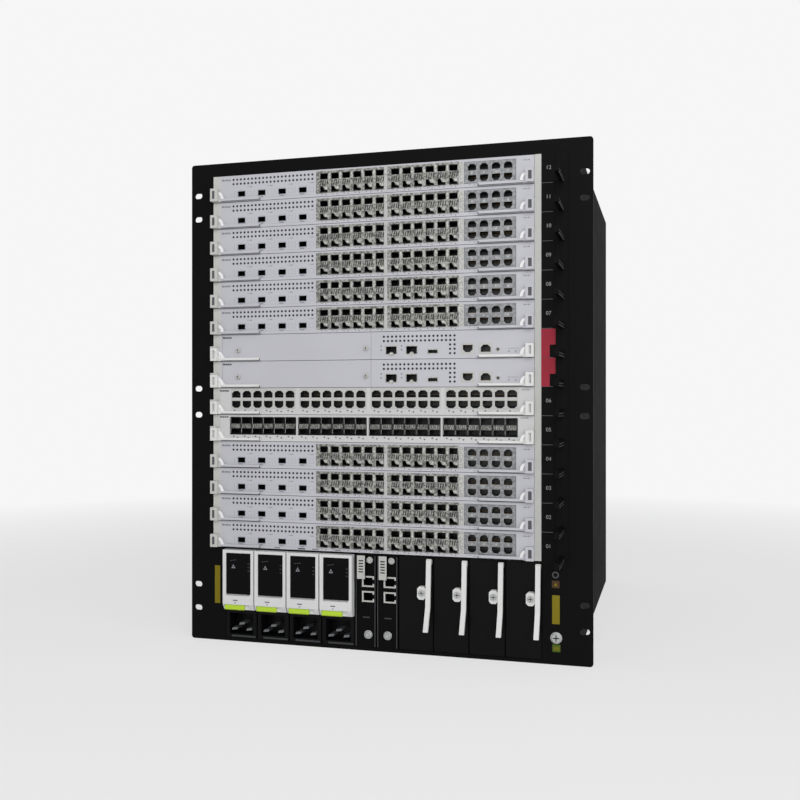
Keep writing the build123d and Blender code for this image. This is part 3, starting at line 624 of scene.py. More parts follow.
# %% Small sockets, marks and edges of a line card
def small_socket(parts, x):
    z0, z1 = 9.4 - 3.05, 9.4 + 3.05
    opening = box(x - 4.6, x + 4.6, z0, z1)
    rim = box(x - 5.3, x + 5.3, z0 - 0.9, z1 + 0.9)
    # The walls of the opening carry painted shade.
    parts.plate(rim, FRONT - 0.2, FRONT + 0.1, mark_faint, (opening,), opening_shade)
    parts.slab(x - 3.6, x + 1.8, FRONT - 0.12, FRONT, z0 - 2.3, z0 - 1.3, mark_grey)
    light_rim = box(x + 8.35, x + 13.15, z0 + 0.55, z1 - 0.55)
    parts.plate(box(x + 8.0, x + 13.5, z0 + 0.2, z1 - 0.2), PRINT_FRONT, FRONT, mark_faint, (light_rim,))
    parts.slab(x + 7.0, x + 9.4, PRINT_FRONT, FRONT, z1 + 4.3, z1 + 5.2, mark_faint)
    parts.slab(x + 10.2, x + 13.8, PRINT_FRONT, FRONT, z1 + 4.3, z1 + 5.2, mark_grey)
    parts.slab(x - 9.6, x - 9.2, PRINT_FRONT, FRONT, z0 - 0.8, z1 + 1.6, mark_faint)


def paired_marks(size):
    """Two printed triangles under a column, one pointing up and one down."""

    def fill(parts):
        for side in (-2.5, 2.5):
            tip = size if side < 0 else -size
            triangle = [(side - size * 0.7, 0), (side + size * 0.7, 0), (side, tip)]
            parts.plate(triangle, FRONT - 0.1, FRONT, dark_marks_and_shade)

    return prototype(fill)


def printed_code(parts, u, t, lengths, paint, height=2.1):
    """A short row of printed bars."""
    x = across(u)
    for n, length in enumerate(lengths):
        parts.slab(x, x + length, PRINT_FRONT, FRONT, below(t + height), below(t + 0.25 * (n % 2)), paint)
        x += length + 0.4


edge_parts = Fittings()
printed_code(edge_parts, 40.2, 4.0, (3.4, 1.6, 2.6, 3.0), mark_grey)
printed_code(edge_parts, 406.6, 4.6, (2.6, 1.4, 2.4), mark_grey, 1.0)
edge_parts.slab(across(334.4), across(338.6), FRONT - 0.3, FRONT, below(27.5), below(3.0), cage_edge)
edge_parts.slab(across(246.0), across(248.9), FRONT - 0.3, FRONT, below(30.5), below(0.8), strip_white)
edge_parts.slab(across(60.5), across(155), PRINT_FRONT, FRONT, below(28.3), below(27.9), mark_faint)
small_parts = Fittings()
for n in range(4):
    small_socket(small_parts, CARD_LEFT + 37.2 + n * 26.3)
small_marks, large_marks = paired_marks(1.2), paired_marks(1.9)
edges = [
    small_parts.object("small"),
    edge_parts.object("edges"),
    copies(small_marks, mark_grey, 4, 1, COPPER_PITCH, (0, 0, 1), (copper_centres[-1], 0, below(29.0))),
]
for group in range(2):
    start = (OPTICAL_FIRST + group * OPTICAL_GROUP, 0, below(29.4))
    edges.append(copies(small_marks, dark_marks_and_shade, 6, 1, OPTICAL_PITCH, (0, 0, 1), start))
print("small sockets", 4)

# %% [markdown]
# Every card is held by two ejector levers. The solids give the block and the arm; here come the painted
# shade in the eye slot of a closed block, a painted highlight on the curved web beside it, and the painted
# shadow line under the arm with a painted shade tick at its end.


# %% Lever dressing
LEVER_FACE = FRONT - 8.5


def lever_dressing(parts, side, eye=True):
    """The dressing of a closed lever, at the left for side 1 and at the right for side -1."""
    pivot = CARD_LEFT + 3.8 if side > 0 else CARD_RIGHT - 3.8
    eye_half = 1.55 if side > 0 else 2.0

    def span(a, b):
        return sorted((pivot + side * a, pivot + side * b))

    # Painted shade: a dark plate over the eye slot of the lever block.
    if eye:
        x0, x1 = span(-eye_half, eye_half)
        parts.plate(box(x0, x1, 3.6, 13.1), LEVER_FACE - 0.05, LEVER_FACE + 0.1, dark_marks_and_shade)
    # Painted highlight: a bright crescent on the lever's curved web.
    turns = [math.pi / 2 * n / 8 for n in range(9)]
    outer = [(5.4 + 6.2 * math.sin(a), 3.4 + 8.6 * math.cos(a)) for a in turns]
    inner = [(5.4 + 3.0 * math.sin(a), 3.4 + 5.2 * math.cos(a)) for a in turns]
    crescent = [(pivot + side * x, z) for x, z in outer + inner[::-1]]
    parts.plate(crescent, FRONT - 5.2, FRONT - 3.9, lever_highlight)
    # Painted shadow: a thin dark line under the arm, and a painted shade tick at its end.
    x0, x1 = span(8, 58.9)
    parts.slab(x0, x1, FRONT - 4.15, FRONT - 3.95, 0.7, 1.25, dark_marks_and_shade)
    x0, x1 = span(58.0, 58.9)
    parts.slab(x0, x1, FRONT - 4.25, FRONT - 3.95, 0.7, 3.0, dark_marks_and_shade)


closed = Fittings()
lever_dressing(closed, 1)
lever_dressing(closed, -1)
closed_levers = closed.object("closed")
print("lever dressing ready")

# %% [markdown]
# Behind its panel a card is a board. Chips and capacitors stand around the finned heat sink, and a
# pressed lid covers the sockets. They are a guess, and show only when a card is pulled out.


# %% Parts of a board
def chip(parts):
    top, bottom = 6.4, 4.2
    body, legs = (-6, 6, -6, 6, top, chip_black), (-7, 7, -5, 5, bottom + 0.4, bright_steel)
    for x0, x1, y0, y1, z1, paint in (body, legs):
        corners = [(x0, y0), (x1, y0), (x1, y1), (x0, y1)]
        parts.face([(x, y, z1) for x, y in corners], paint)
        for a, b in zip(corners, corners[1:] + corners[:1]):
            parts.face([(*a, bottom), (*b, bottom), (*b, z1), (*a, z1)], paint)


def capacitor(parts):
    ring = circle(0, 0, 3.0, 10)
    parts.face([(x, y, 11.0) for x, y in ring], bright_steel)
    for a, b in zip(ring, ring[1:] + ring[:1]):
        parts.face([(*a, 4.2), (*b, 4.2), (*b, 11.0), (*a, 11.0)], bright_steel)


def fin(parts):
    """A fin of the heat sink, standing on its block."""
    parts.slab(-0.6, 0.6, FRONT + 151, FRONT + 239, 18.2, 25.5, bright_steel)


def socket_lid(parts):
    """The pressed steel lid over the sockets behind the panel, with stiffening ribs."""
    parts.slab(CARD_LEFT + 2, CARD_RIGHT - 2, FRONT + 2.4, FRONT + 26.4, 28.55, 28.9, inside_steel)
    parts.slab(CARD_LEFT + 2, CARD_RIGHT - 2, FRONT + 26.05, FRONT + 26.4, 4.4, 28.9, inside_steel)
    for n in range(24):
        x = CARD_LEFT + 14 + n * 16
        parts.slab(x, x + 1.6, FRONT + 4, FRONT + 25, 28.9, 29.4, inside_steel)


chip_shape, capacitor_shape, fin_shape = prototype(chip), prototype(capacitor), prototype(fin)
lid_parts = Fittings()
socket_lid(lid_parts)
SINK_MIDDLE = (CARD_LEFT + CARD_RIGHT) / 2
board_parts = [
    lid_parts.object("lid"),
    copies(fin_shape, bright_steel, 26, 1, 5.8, (0, 0, 1), (SINK_MIDDLE - 72.5, 0, 0)),
    copies(chip_shape, chip_black, 9, 2, 38.0, (0, 24, 0), (CARD_LEFT + 30, FRONT + 66, 0)),
    copies(chip_shape, chip_black, 4, 3, 20.0, (0, 26, 0), (CARD_LEFT + 26, FRONT + 160, 0)),
    copies(chip_shape, chip_black, 4, 3, 20.0, (0, 26, 0), (CARD_RIGHT - 86, FRONT + 160, 0)),
    copies(capacitor_shape, bright_steel, 16, 2, 22.0, (0, 14, 0), (CARD_LEFT + 28, FRONT + 290, 0)),
]
shapes = [capacitor_shape, fin_shape, contact_shape, spring_shape, spring_shadow_shape, small_marks, large_marks]
print("board parts", sum(len(o.data.polygons) for o in board_parts), "faces")

# %% [markdown]
# The ten line cards are alike, so their fittings are made once and joined for each card at the
# height of its slot. The lowest card also carries the row of marks over the bays below it.

# %% Line cards
for slot_number in LINE_CARDS:
    join(
        [line_vents, *optical, *copper, *edges, closed_levers, *board_parts],
        f"line_card_fittings_{slot_number:02d}",
        f"card_{slot_number:02d}",
        floor_of(slot_number),
    )
drop(line_vents, *optical, *copper, *edges, closed_levers)
BAY_MARKS = (
    (62.5, 6, mark_faint),
    (109.0, 7, mark_grey),
    (139.0, 9, dark_marks_and_shade),
    (157.0, 8, mark_grey),
    (185.0, 8, mark_grey),
    (232.0, 8, mark_grey),
)
bay_names = Fittings()
for u, length, paint in BAY_MARKS:
    bay_names.slab(across(u), across(u + length), PRINT_FRONT, FRONT, 1.0, 2.6, paint)
bay_marks = bay_names.object("bay_marks")
join([bay_marks], "bay_names", "card_01", floor_of(1))
drop(bay_marks)
print("line cards dressed", len(LINE_CARDS))

# %% [markdown]
# The card full of copper sockets has four housings of two rows, and pairs of small printed
# triangles under each column. Each housing gets one front sheet with twelve openings.


# %% Copper card
copper_card = Fittings()
copper_details = []
COPPER_UPPER, COPPER_LOWER = (20.3, 28.4), (8.0, 16.5)
HOUSING_PITCH, HOUSING_STEP = 13.9, 88.37
for group in range(4):
    start = CARD_LEFT + 30.4 + group * HOUSING_STEP
    centres = [start + n * HOUSING_PITCH for n in range(6)]
    holes = [jack_outline(x, *COPPER_UPPER, True, 5.5, 2.6, 2.5) for x in centres]
    holes += [jack_outline(x, *COPPER_LOWER, False, 5.5, 2.6, 2.5) for x in centres]
    outline = box(centres[0] - 6.8, centres[-1] + 6.8, 6.9, 31.3)
    # The walls of the openings carry painted shade.
    copper_card.plate(outline, SHEET_FRONT, SHEET_BACK, strip_white, holes, dark_cage_and_shade)
    # Painted shade: liners where the openings reach past the pockets.
    for x in centres:
        copper_card.slab(x - 5.5, x + 5.5, POCKET_FRONT, POCKET_BACK, COPPER_UPPER[0], 22.8, opening_shade)
        copper_card.slab(x - 5.5, x + 5.5, POCKET_FRONT, POCKET_BACK, COPPER_LOWER[0], 10.8, opening_shade)
    wires = copies(contact_shape, contact_gold, 6, 2, HOUSING_PITCH, (0, 0, 7.4), (start, 0, 16.0))
    marks = copies(large_marks, dark_marks_and_shade, 6, 1, HOUSING_PITCH, (0, 0, 1), (start, 0, 4.4))
    copper_details += [wires, marks]
printed_code(copper_card, 37.6, 2.2, (2.8, 3.2, 2.2, 2.4), dark_marks_and_shade, 2.0)
printed_code(copper_card, 404.5, 2.8, (3.0, 1.6, 3.2), mark_grey, 0.8)
copper_details.append(copper_card.object("copper_faces"))
join([*copper_details, *board_parts], "copper_card_fittings", "card_06", floor_of(6))
drop(*copper_details)
print("copper sockets", 48)

# %% [markdown]
# The card full of optical sockets has black cages, with a woven band of spring fingers between the
# rows. The band is a block with a mottled finish, and five slanted fingers for each column give it
# an edge.

# %% Optical card
fibre_card = Fittings()
fibre_details = []
FIBRE_UPPER, FIBRE_LOWER = (21.4, 28.2), (8.5, 15.3)
FIBRE_PITCH, FIBRE_STEP = 14.2, 87.9
for group in range(4):
    start = CARD_LEFT + 29.4 + group * FIBRE_STEP
    centres = [start + n * FIBRE_PITCH for n in range(6)]
    holes = [box(x - 6.6, x + 6.6, *rows) for x in centres for rows in (FIBRE_UPPER, FIBRE_LOWER)]
    outline = box(centres[0] - 7.2, centres[-1] + 7.2, 8.0, 28.8)
    fibre_card.plate(outline, SHEET_FRONT, SHEET_BACK, dark_cage_and_shade, holes, dark_cage_and_shade)
    # Painted shade: a liner in each lower opening, where it reaches past the pocket.
    for x in centres:
        fibre_card.slab(x - 6.6, x + 6.6, POCKET_FRONT, POCKET_BACK, FIBRE_LOWER[0], 9.8, opening_shade)
        band_low, band_high = FIBRE_LOWER[1] + 0.2, FIBRE_UPPER[0] - 0.2
        fibre_card.slab(x - 6.3, x + 6.3, FRONT - 0.5, FRONT + 18, band_low, band_high, woven_cage)
        for k in range(5):
            fx = x - 5.4 + k * 2.3
            finger = [(fx, 16.3), (fx + 0.9, 16.0), (fx + 1.7, 20.6), (fx + 0.8, 20.9)]
            fibre_card.plate(finger, FRONT - 0.8, FRONT - 0.5, cage_metal)
    fibre_details.append(copies(large_marks, dark_marks_and_shade, 6, 1, FIBRE_PITCH, (0, 0, 1), (start, 0, 5.2)))
printed_code(fibre_card, 37.6, 1.8, (2.6, 3.0, 2.0, 2.6), dark_marks_and_shade, 1.7)
printed_code(fibre_card, 403.5, 2.0, (3.0, 1.6, 3.2), mark_grey, 0.8)
fibre_details.append(fibre_card.object("fibre_faces"))
join([*fibre_details, *board_parts], "optical_card_fittings", "card_05", floor_of(5))
drop(*fibre_details, *board_parts)
print("optical sockets", 48)

# %% [markdown]
# The control cards carry two optical sockets, a memory-card slot, two copper jacks, a reset button
# and status lights, under two rows of vent holes. A blank sub-card with two captive screws fills
# the left half.


# %% Control cards
def control_face(parts):
    def frame_about(x, z, half_w, half_h, rim):
        outer = box(x - half_w - rim, x + half_w + rim, z - half_h - rim, z + half_h + rim)
        opening = box(x - half_w, x + half_w, z - half_h, z + half_h)
        # The walls of the opening carry painted shade.
        parts.plate(outer, FRONT - 0.25, FRONT + 0.1, cage_edge, (opening,), opening_shade)

    for u in (254.15, 278.35):
        frame_about(across(u), 10.5, 6.3, 4.35, 0.9)
        parts.plate(circle(across(u), 10.5 - 4.6, 2.6, 12), FRONT - 0.35, FRONT - 0.1, cage_edge)
    frame_about(across(303.3), 8.4, 5.5, 1.9, 1.0)
    for u, up in ((343.75, False), (364.25, True)):
        x = across(u)
        hole = jack_outline(x, 7.1, 15.3, up, 5.6, 3.0, 2.4)
        surround = box(x - 7.8, x + 7.8, 5.0, 17.6)
        parts.plate(surround, FRONT - 0.3, FRONT + 0.1, strip_white, (hole,), cage_edge)
    for u in (241.9, 266.4):
        for t in (16.4, 20.9):
            parts.plate(circle(across(u), below(t), 1.0, 10), FRONT - 0.15, FRONT, mark_grey)
    for u in (390.4, 398.1):
        parts.plate(circle(across(u), below(24.2), 0.9, 10), FRONT - 0.15, FRONT, mark_grey)
    parts.slab(across(389), across(401), PRINT_FRONT, FRONT, below(21.3), below(20.8), mark_grey)
    reset_x, reset_z = across(378.1), 9.84
    reset_hole = circle(reset_x, reset_z, 1.75, 16)
    parts.plate(circle(reset_x, reset_z, 2.6, 16), FRONT - 0.2, FRONT, cage_edge, (reset_hole,))


for slot_number in (13, 14):
    face = Fittings()
    control_face(face)
    shown = [
        face.object("f"),
        copies(vent_shape, vent_shade, 18, 2, 4.9, (0, 0, 5.0), (across(245.2), 0, below(10.6))),
        copies(vent_shape, vent_shade, 2, 3, 5.2, (0, 0, 4.95), (across(323.4), 0, below(25.6))),
        copies(contact_shape, contact_gold, 1, 1, 1, (0, 0, 1), (across(343.75), 0, 14.2)),
        copies(contact_shape, contact_gold, 1, 1, 1, (0, 0, 1), (across(364.25), 0, 8.2)),
        copies(chip_shape, chip_black, 6, 4, 24.0, (0, 30, 0), (across(262), FRONT + 60, 0)),
    ]
    name = f"control_card_fittings_{slot_number}"
    join(shown, name, f"card_{slot_number}", floor_of(slot_number))
    drop(*shown)
print("control cards", 2)

# %% [markdown]
# A captive screw has a knurled head that is turned by hand or with a driver. The knurling is cut
# on a lathe, so here every second point of the head's outline lies a little further in. The two
# screws of a blank sub-card ride with it.


# %% Captive screws of the blank sub-cards
def knurled_screw(parts, x, z, y, radius, length, paint, cross=True):
    """A captive screw: a knurled head on a thin washer, with a cross slot or a turned groove."""
    sides = 24
    head = []
    for n in range(sides):
        reach = radius * (1 if n % 2 else 0.93)
        angle = 2 * math.pi * n / sides
        head.append((x + reach * math.cos(angle), z + reach * math.sin(angle)))
    parts.plate(circle(x, z, radius * 1.12, 20), y - 0.5, y, paint)
    parts.eased(head, y - length, y - 0.5, radius * 0.16, paint)
    if not cross:
        groove = circle(x, z, radius * 0.62, 24)
        middle = circle(x, z, radius * 0.5, 24)
        parts.plate(groove, y - length - 0.05, y - length + 0.1, inside_steel, (middle,))
        return
    # The cross slot is drawn as dark plates of painted shade.
    for w, h in ((radius * 0.62, radius * 0.11), (radius * 0.11, radius * 0.62)):
        parts.plate(box(x - w, x + w, z - h, z + h), y - length - 0.05, y - length + 0.1, opening_shade)


for slot_number in (13, 14):
    sub = Fittings()
    for u in (62.8, 224.3):
        knurled_screw(sub, across(u), below(18.5), FRONT, 2.6, 4.0, strip_white)
    printed_code(sub, 41.5, 2.2, (3.0, 3.2, 2.0, 2.2), dark_marks_and_shade, 2.2)
    sub_parts = sub.object("sub_parts")
    name = f"blank_card_fittings_{slot_number}"
    join([sub_parts], name, f"blank_{slot_number}", floor_of(slot_number))
    drop(sub_parts)
drop(vent_shape, chip_shape, *shapes)
print("captive screws", 4)

# %% [markdown]
# The levers of these four cards turn about their pivots, so their painted highlight, painted shadow line
# and painted shade tick ride on the lever's own body. No painted eye shade is added, because the solid of a
# turning lever has a recess there.

# %% Turning levers
for slot_number in (5, 6, 13, 14):
    for side, word in ((1, "left"), (-1, "right")):
        dressing = Fittings()
        lever_dressing(dressing, side, eye=False)
        shown = dressing.object("dressing")
        body = f"lever_{word}_{slot_number:02d}"
        join([shown], f"dressing_of_{body}", body, floor_of(slot_number))
        drop(shown)
print("turning levers", 8)

# %% [markdown]
# A power unit has a glossy pale bezel round a black window, a lime thumb latch, and below it the
# inlet of its mains lead. Small signs and lines are printed on the window.

# %% Power units
BAYS_LEFT = -195.9
BAY_FLOOR = 4.0
BAY_PITCH = 41.2
POWER_HALF = 19.8
for n in range(4):
    x = BAYS_LEFT + (n + 0.5) * BAY_PITCH
    unit = Fittings()
    face = FRONT - 10.0
    left, right = x - POWER_HALF + 4.7, x + POWER_HALF - 3.4
    z_top, z_low = BAY_FLOOR + 103.6, BAY_FLOOR + 54.6
    unit.eased(box(left, right, z_low, z_top), face - 0.35, face + 1.0, 0.3, window_black)
    pane = face - 0.4
    sign = x - 5.6
    triangle = [(sign - 2.6, z_top - 18), (sign + 2.6, z_top - 18), (sign, z_top - 13.2)]
    unit.plate(triangle, pane, pane + 0.1, mark_grey)
    unit.plate(circle(sign, z_top - 16.3, 0.9, 8), pane - 0.05, pane + 0.05, window_black)
    for k in range(3):
        dash_left, dash_right = sign - 4.2 + 2.9 * k, sign - 2.2 + 2.9 * k
        dash_low, dash_high = z_top - 9.2 + 0.4 * k, z_top - 8.6 + 0.4 * k
        unit.slab(dash_left, dash_right, pane, pane + 0.1, dash_low, dash_high, dark_marks_and_shade)
        tick_low, tick_high = z_top - 12.6 - 4.2 * k, z_top - 12.0 - 4.2 * k
        unit.slab(right - 3.6, right - 1.2, pane, pane + 0.1, tick_low, tick_high, dark_marks_and_shade)
    unit.slab(x - 6.4, x - 0.4, face - 0.08, face, BAY_FLOOR + 46.6, BAY_FLOOR + 47.8, dark_marks_and_shade)
    unit.slab(x - 4.4, x - 2.4, face - 0.08, face, BAY_FLOOR + 43.6, BAY_FLOOR + 44.8, mark_grey)
    sill_left, sill_right = x - POWER_HALF + 7.5, x + POWER_HALF - 1.0
    sill_low, sill_high = BAY_FLOOR + 1.6, BAY_FLOOR + 3.5
    unit.slab(sill_left, sill_right, FRONT - 0.8, FRONT, sill_low, sill_high, rail_grey, 0.3)
    for dx, z in ((-9.5, 9.6), (0.0, 16.2), (9.5, 9.6)):
        low, high = BAY_FLOOR + z - 0.4, BAY_FLOOR + z + 2.4
        blade_foot = [(x + dx - 4.0, low - 0.5), (x + dx + 3.2, low + 0.4)]
        blade_head = [(x + dx + 4.0, high + 0.5), (x + dx - 3.0, high - 0.4)]
        unit.eased(blade_foot + blade_head, FRONT + 1.6, FRONT + 19.5, 0.4, inside_steel)
    unit_parts = unit.object("unit_parts")
    join([unit_parts], f"power_unit_fittings_{n + 1}", f"power_{n + 1}")
    drop(unit_parts)
print("power units", 4)

# %% [markdown]
# A monitoring unit is narrow: a pale pull tab with a knurled knob, two ports turned on their side
# in white C-shaped frames, and a silver thumbscrew at the foot.

# %% Monitoring units
MONITOR_LEFT, MONITOR_PITCH = -31.1, 26.2
PORT_ACROSS = 16.55
THUMBSCREW_U = (226.5, 249.9)
for n in range(2):
    x0 = MONITOR_LEFT + n * MONITOR_PITCH
    unit = Fittings()
    for edge in (x0 + 1.1, x0 + 24.0):
        unit.slab(edge, edge + 1.0, FRONT - 1.0, FRONT, BAY_FLOOR + 1, BAY_FLOOR + 106, rail_grey)
    tab_left, tab_top = x0 + 4.2, BAY_FLOOR + 107.1
    tab = box(tab_left, tab_left + 9.4, tab_top - 27.3, tab_top - 0.2)
    slots = []
    for k in range(5):
        slot_low, slot_high = tab_top - 7 - k * 3.2, tab_top - 5.6 - k * 3.2
        slots.append(box(tab_left + 2, tab_left + 7.4, slot_low, slot_high))
    unit.plate(tab, FRONT - 5.6, FRONT - 4.95, strip_white, slots, dark_marks_and_shade)
    knurled_screw(unit, x0 + 17.9, tab_top - 6.0, FRONT, 3.4, 3.0, strip_white, cross=False)
    for top in (83.0, 65.6):
        cx = x0 + PORT_ACROSS
        cz = BAY_FLOOR + top - 6.35
        foot = [(cx - 7.3, cz - 6.3), (cx + 7.3, cz - 6.3), (cx + 7.3, cz - 2.6), (cx + 5.6, cz - 2.6)]
        back = [(cx + 5.6, cz - 4.6), (cx - 5.5, cz - 4.6), (cx - 5.5, cz + 4.6), (cx + 5.6, cz + 4.6)]
        head = [(cx + 5.6, cz + 2.6), (cx + 7.3, cz + 2.6), (cx + 7.3, cz + 6.3), (cx - 7.3, cz + 6.3)]
        outer = foot + back + head
        unit.plate(outer, FRONT - 2.4, FRONT - 1.4, strip_white)
    unit.slab(x0 + 9.5, x0 + 18.0, FRONT - 0.1, FRONT, BAY_FLOOR + 34.0, BAY_FLOOR + 35.4, rail_grey)
    thumb_x, thumb_z = across(THUMBSCREW_U[n]), PLATE_TOP - 558.0
    knurled_screw(unit, thumb_x, thumb_z, FRONT, 4.4, 4.0, bright_steel, cross=False)
    unit_parts = unit.object("unit_parts")
    join([unit_parts], f"monitoring_unit_fittings_{n + 1}", f"monitor_{n + 1}")
    drop(unit_parts)
print("monitoring units", 2)

# %% [markdown]
# The fabric units are plain black blanks between slim seams, each with a captive screw in the boss
# beside its curved lever.

# %% Fabric units
FABRIC_LEFT = 21.3
for n in range(4):
    middle = FABRIC_LEFT + (n + 0.5) * BAY_PITCH
    unit = Fittings()
    screw_x = middle + 19.8 - 6.0 - 0.3 - 5.0
    knurled_screw(unit, screw_x, BAY_FLOOR + 67.6, FRONT - 7.0, 3.5, 1.0, bright_steel)
    unit_parts = unit.object("unit_parts")
    join([unit_parts], f"fabric_unit_fittings_{n + 1}", f"fabric_{n + 1}")
    drop(unit_parts)
print("fabric units", 4)

# %% [markdown]
# The right margin carries the slot numbers, thin printed separators and coloured labels, and at its
# foot an earth screw and the jack of a wrist strap. One more label is in the left margin. Numbers
# are made as text and turned into meshes.


# %% Slot numbers
def number_mesh(text, size, x, y, z, paint):
    curve = bpy.data.curves.new("number", "FONT")
    curve.body = text
    curve.size = size * MM
    curve.align_x = "CENTER"
    curve.align_y = "CENTER"
    curve.extrude = 0.00004
    holder = bpy.data.objects.new("number", curve)
    bpy.context.scene.collection.objects.link(holder)
    bpy.context.view_layer.update()
    mesh = bpy.data.meshes.new_from_object(holder.evaluated_get(bpy.context.evaluated_depsgraph_get()))
    bpy.data.objects.remove(holder)
    mesh.transform(Matrix.Translation((x * MM, y * MM, z * MM)) @ Matrix.Rotation(math.pi / 2, 4, "X"))
    mesh.materials.clear()
    mesh.materials.append(paint.material)
    made = bpy.data.objects.new("number", mesh)
    bpy.context.scene.collection.objects.link(made)
    return made


NUMBER_SIZE, NUMBER_RISE = 6.0, 16.5
number_x = across(434.3)
prints = []
for slot in LINE_CARDS + (5, 6):
    z = floor_of(slot) + NUMBER_RISE
    prints.append(number_mesh(f"{slot:02d}", NUMBER_SIZE, number_x, FRONT - 0.06, z, number_grey))
margin = Fittings()
FINGER_X = 207.7
for k in range(1, 14):
    z = CAGE_BOTTOM + k * SLOT_PITCH
    margin.slab(across(426.5), across(439.0), PRINT_FRONT, FRONT, z - 0.3, z + 0.3, dark_marks_and_shade)
for slot in (13, 14):
    z = floor_of(slot)
    left, notch, right = across(426.2), across(435.5), across(442.0)
    flag = [(left, z), (notch, z), (notch, z + 14), (right, z + 14), (right, z + 31.6), (left, z + 31.6)]
    margin.plate(flag, FRONT - 0.15, FRONT, label_red)
for u0, u1, v0, v1, paint in (
    (31, 38, 486.9, 532.6, label_olive),
    (437.8, 446.2, 484.9, 493, label_orange),
    (438.2, 446.4, 500.9, 532.5, label_olive),
    (438.4, 447.2, 554.9, 563, label_green),
):
    margin.plate(box(across(u0), across(u1), PLATE_TOP - v1, PLATE_TOP - v0), FRONT - 0.15, FRONT, paint)
knurled_screw(margin, across(442.7), PLATE_TOP - 547.6, FRONT, 5.7, 2.6, bright_steel)
strap_x, strap_z = across(441.9), PLATE_TOP - 478.5
strap_hole = circle(strap_x, strap_z, 2.4, 20)
# Painted shade: the hole of the wrist-strap jack has near-black walls and is covered by a near-black disc.
margin.plate(circle(strap_x, strap_z, 3.7, 20), FRONT - 1.0, FRONT, jack_grey, (strap_hole,), opening_shade)
margin.plate(strap_hole, FRONT - 0.1, FRONT, opening_shade)
orange_x, orange_z = across(442.0), PLATE_TOP - 489.0
sign_foot = [(orange_x - 1.9, orange_z - 1.7), (orange_x + 1.9, orange_z - 1.7)]
margin.plate([*sign_foot, (orange_x, orange_z + 1.8)], FRONT - 0.2, FRONT - 0.1, label_olive)
bar_low, bar_high = PLATE_TOP - 561.2, PLATE_TOP - 557.4
for k in range(4):
    bar_left, bar_right = across(440.0 + k * 1.6), across(441.0 + k * 1.6)
    margin.slab(bar_left, bar_right, FRONT - 0.2, FRONT - 0.1, bar_low, bar_high, label_olive)
# Painted highlights: two light strips along the edges of each black cable comb finger.
for k in range(len(SLOT_ORDER)):
    z = CAGE_BOTTOM + k * SLOT_PITCH
    for low in (z - 0.15, z + 2.75):
        margin.slab(FINGER_X + 1.6, FINGER_X + 2.6, FRONT - 50, FRONT - 3, low, low + 0.5, comb_highlight)
join([margin.object("margin"), *prints], "margin_marks", "chassis")
drop(bpy.data.objects["margin"], *prints)
print("slot numbers", len(prints))

# %% [markdown]
# The photo shows nothing of the back, so it follows other chassis of this kind: each fan tray is
# held by four captive thumbscrews, one near each corner.


# %% Thumbscrews of the fan trays
for word, floor_z in (("lower", 70.5), ("upper", 291.5)):
    back = Fittings()
    for x in (-205, 205):
        for z in (floor_z + 10, floor_z + 205):
            knurled_screw(back, x, z, -REAR, 5.0, 8.0, bright_steel)
    tray_parts = back.object("tray_parts", Matrix.Rotation(math.pi, 4, "Z"))
    join([tray_parts], f"fan_tray_fittings_{word}", f"tray_{word}")
    drop(tray_parts)
print("tray screws", 8)

# %% [markdown]
# The solids keep their own shapes and get finishes. A finish reads Object coordinates, so one material can
# tell the painted panel from the board and the plug behind it by depth, and paint shade on the card's faces
# behind its front.


# %% Finishes of the solids
def card_finish(name, colour):
    """A painted panel, with painted shade on its faces behind the front, and a green board and the grey of
    plugs and heat sinks behind it.
    """
    paint = Paint(name, colour, 0.36)
    paint.grain(700, 0.12)
    y = paint.y * 1000
    z = (paint.z * 1000 - CAGE_BOTTOM) % SLOT_PITCH
    # Painted shade: every face deeper than the panel's front, such as the walls of its port pockets, is
    # near-black.
    inside = y > FRONT + 0.4
    behind = y > FRONT + 2.05
    board = behind * paint.between(z, 2.4, 4.35)
    sink = (y > FRONT + 140) * paint.between(z, 4.3, 19.0)
    colour = paint.mix(inside, paint.tone, (*rgb(13, 13, 14), 1))
    colour = paint.mix(board, colour, (*rgb(24, 74, 44), 1))
    colour = paint.mix(sink, colour, (*rgb(120, 121, 122), 1))
    ends = (paint.x * 1000 < across(38.5)) * (y < FRONT + 0.5)
    colour = paint.mix(ends, colour, (*rgb(192, 192, 187), 1))
    paint.to("Base Color", colour)
    return paint


card_panel = card_finish("card_panel", rgb(187, 187, 193))
plain_panel = card_finish("plain_panel", rgb(199, 199, 199))


def unit_finish(name, front_paint, edge_y):
    """A moulded front over a dark can: the change comes with depth."""
    paint = Paint(name, front_paint, 0.3, 0.0, 0.3, specular=0.08)
    paint.grain(600, 0.08)
    y = paint.y * 1000
    deep = y > edge_y
    paint.to("Base Color", paint.mix(deep, paint.tone, (*rgb(13, 13, 14), 1)))
    paint.to("Coat Weight", 0.3 - 0.3 * deep)
    return paint


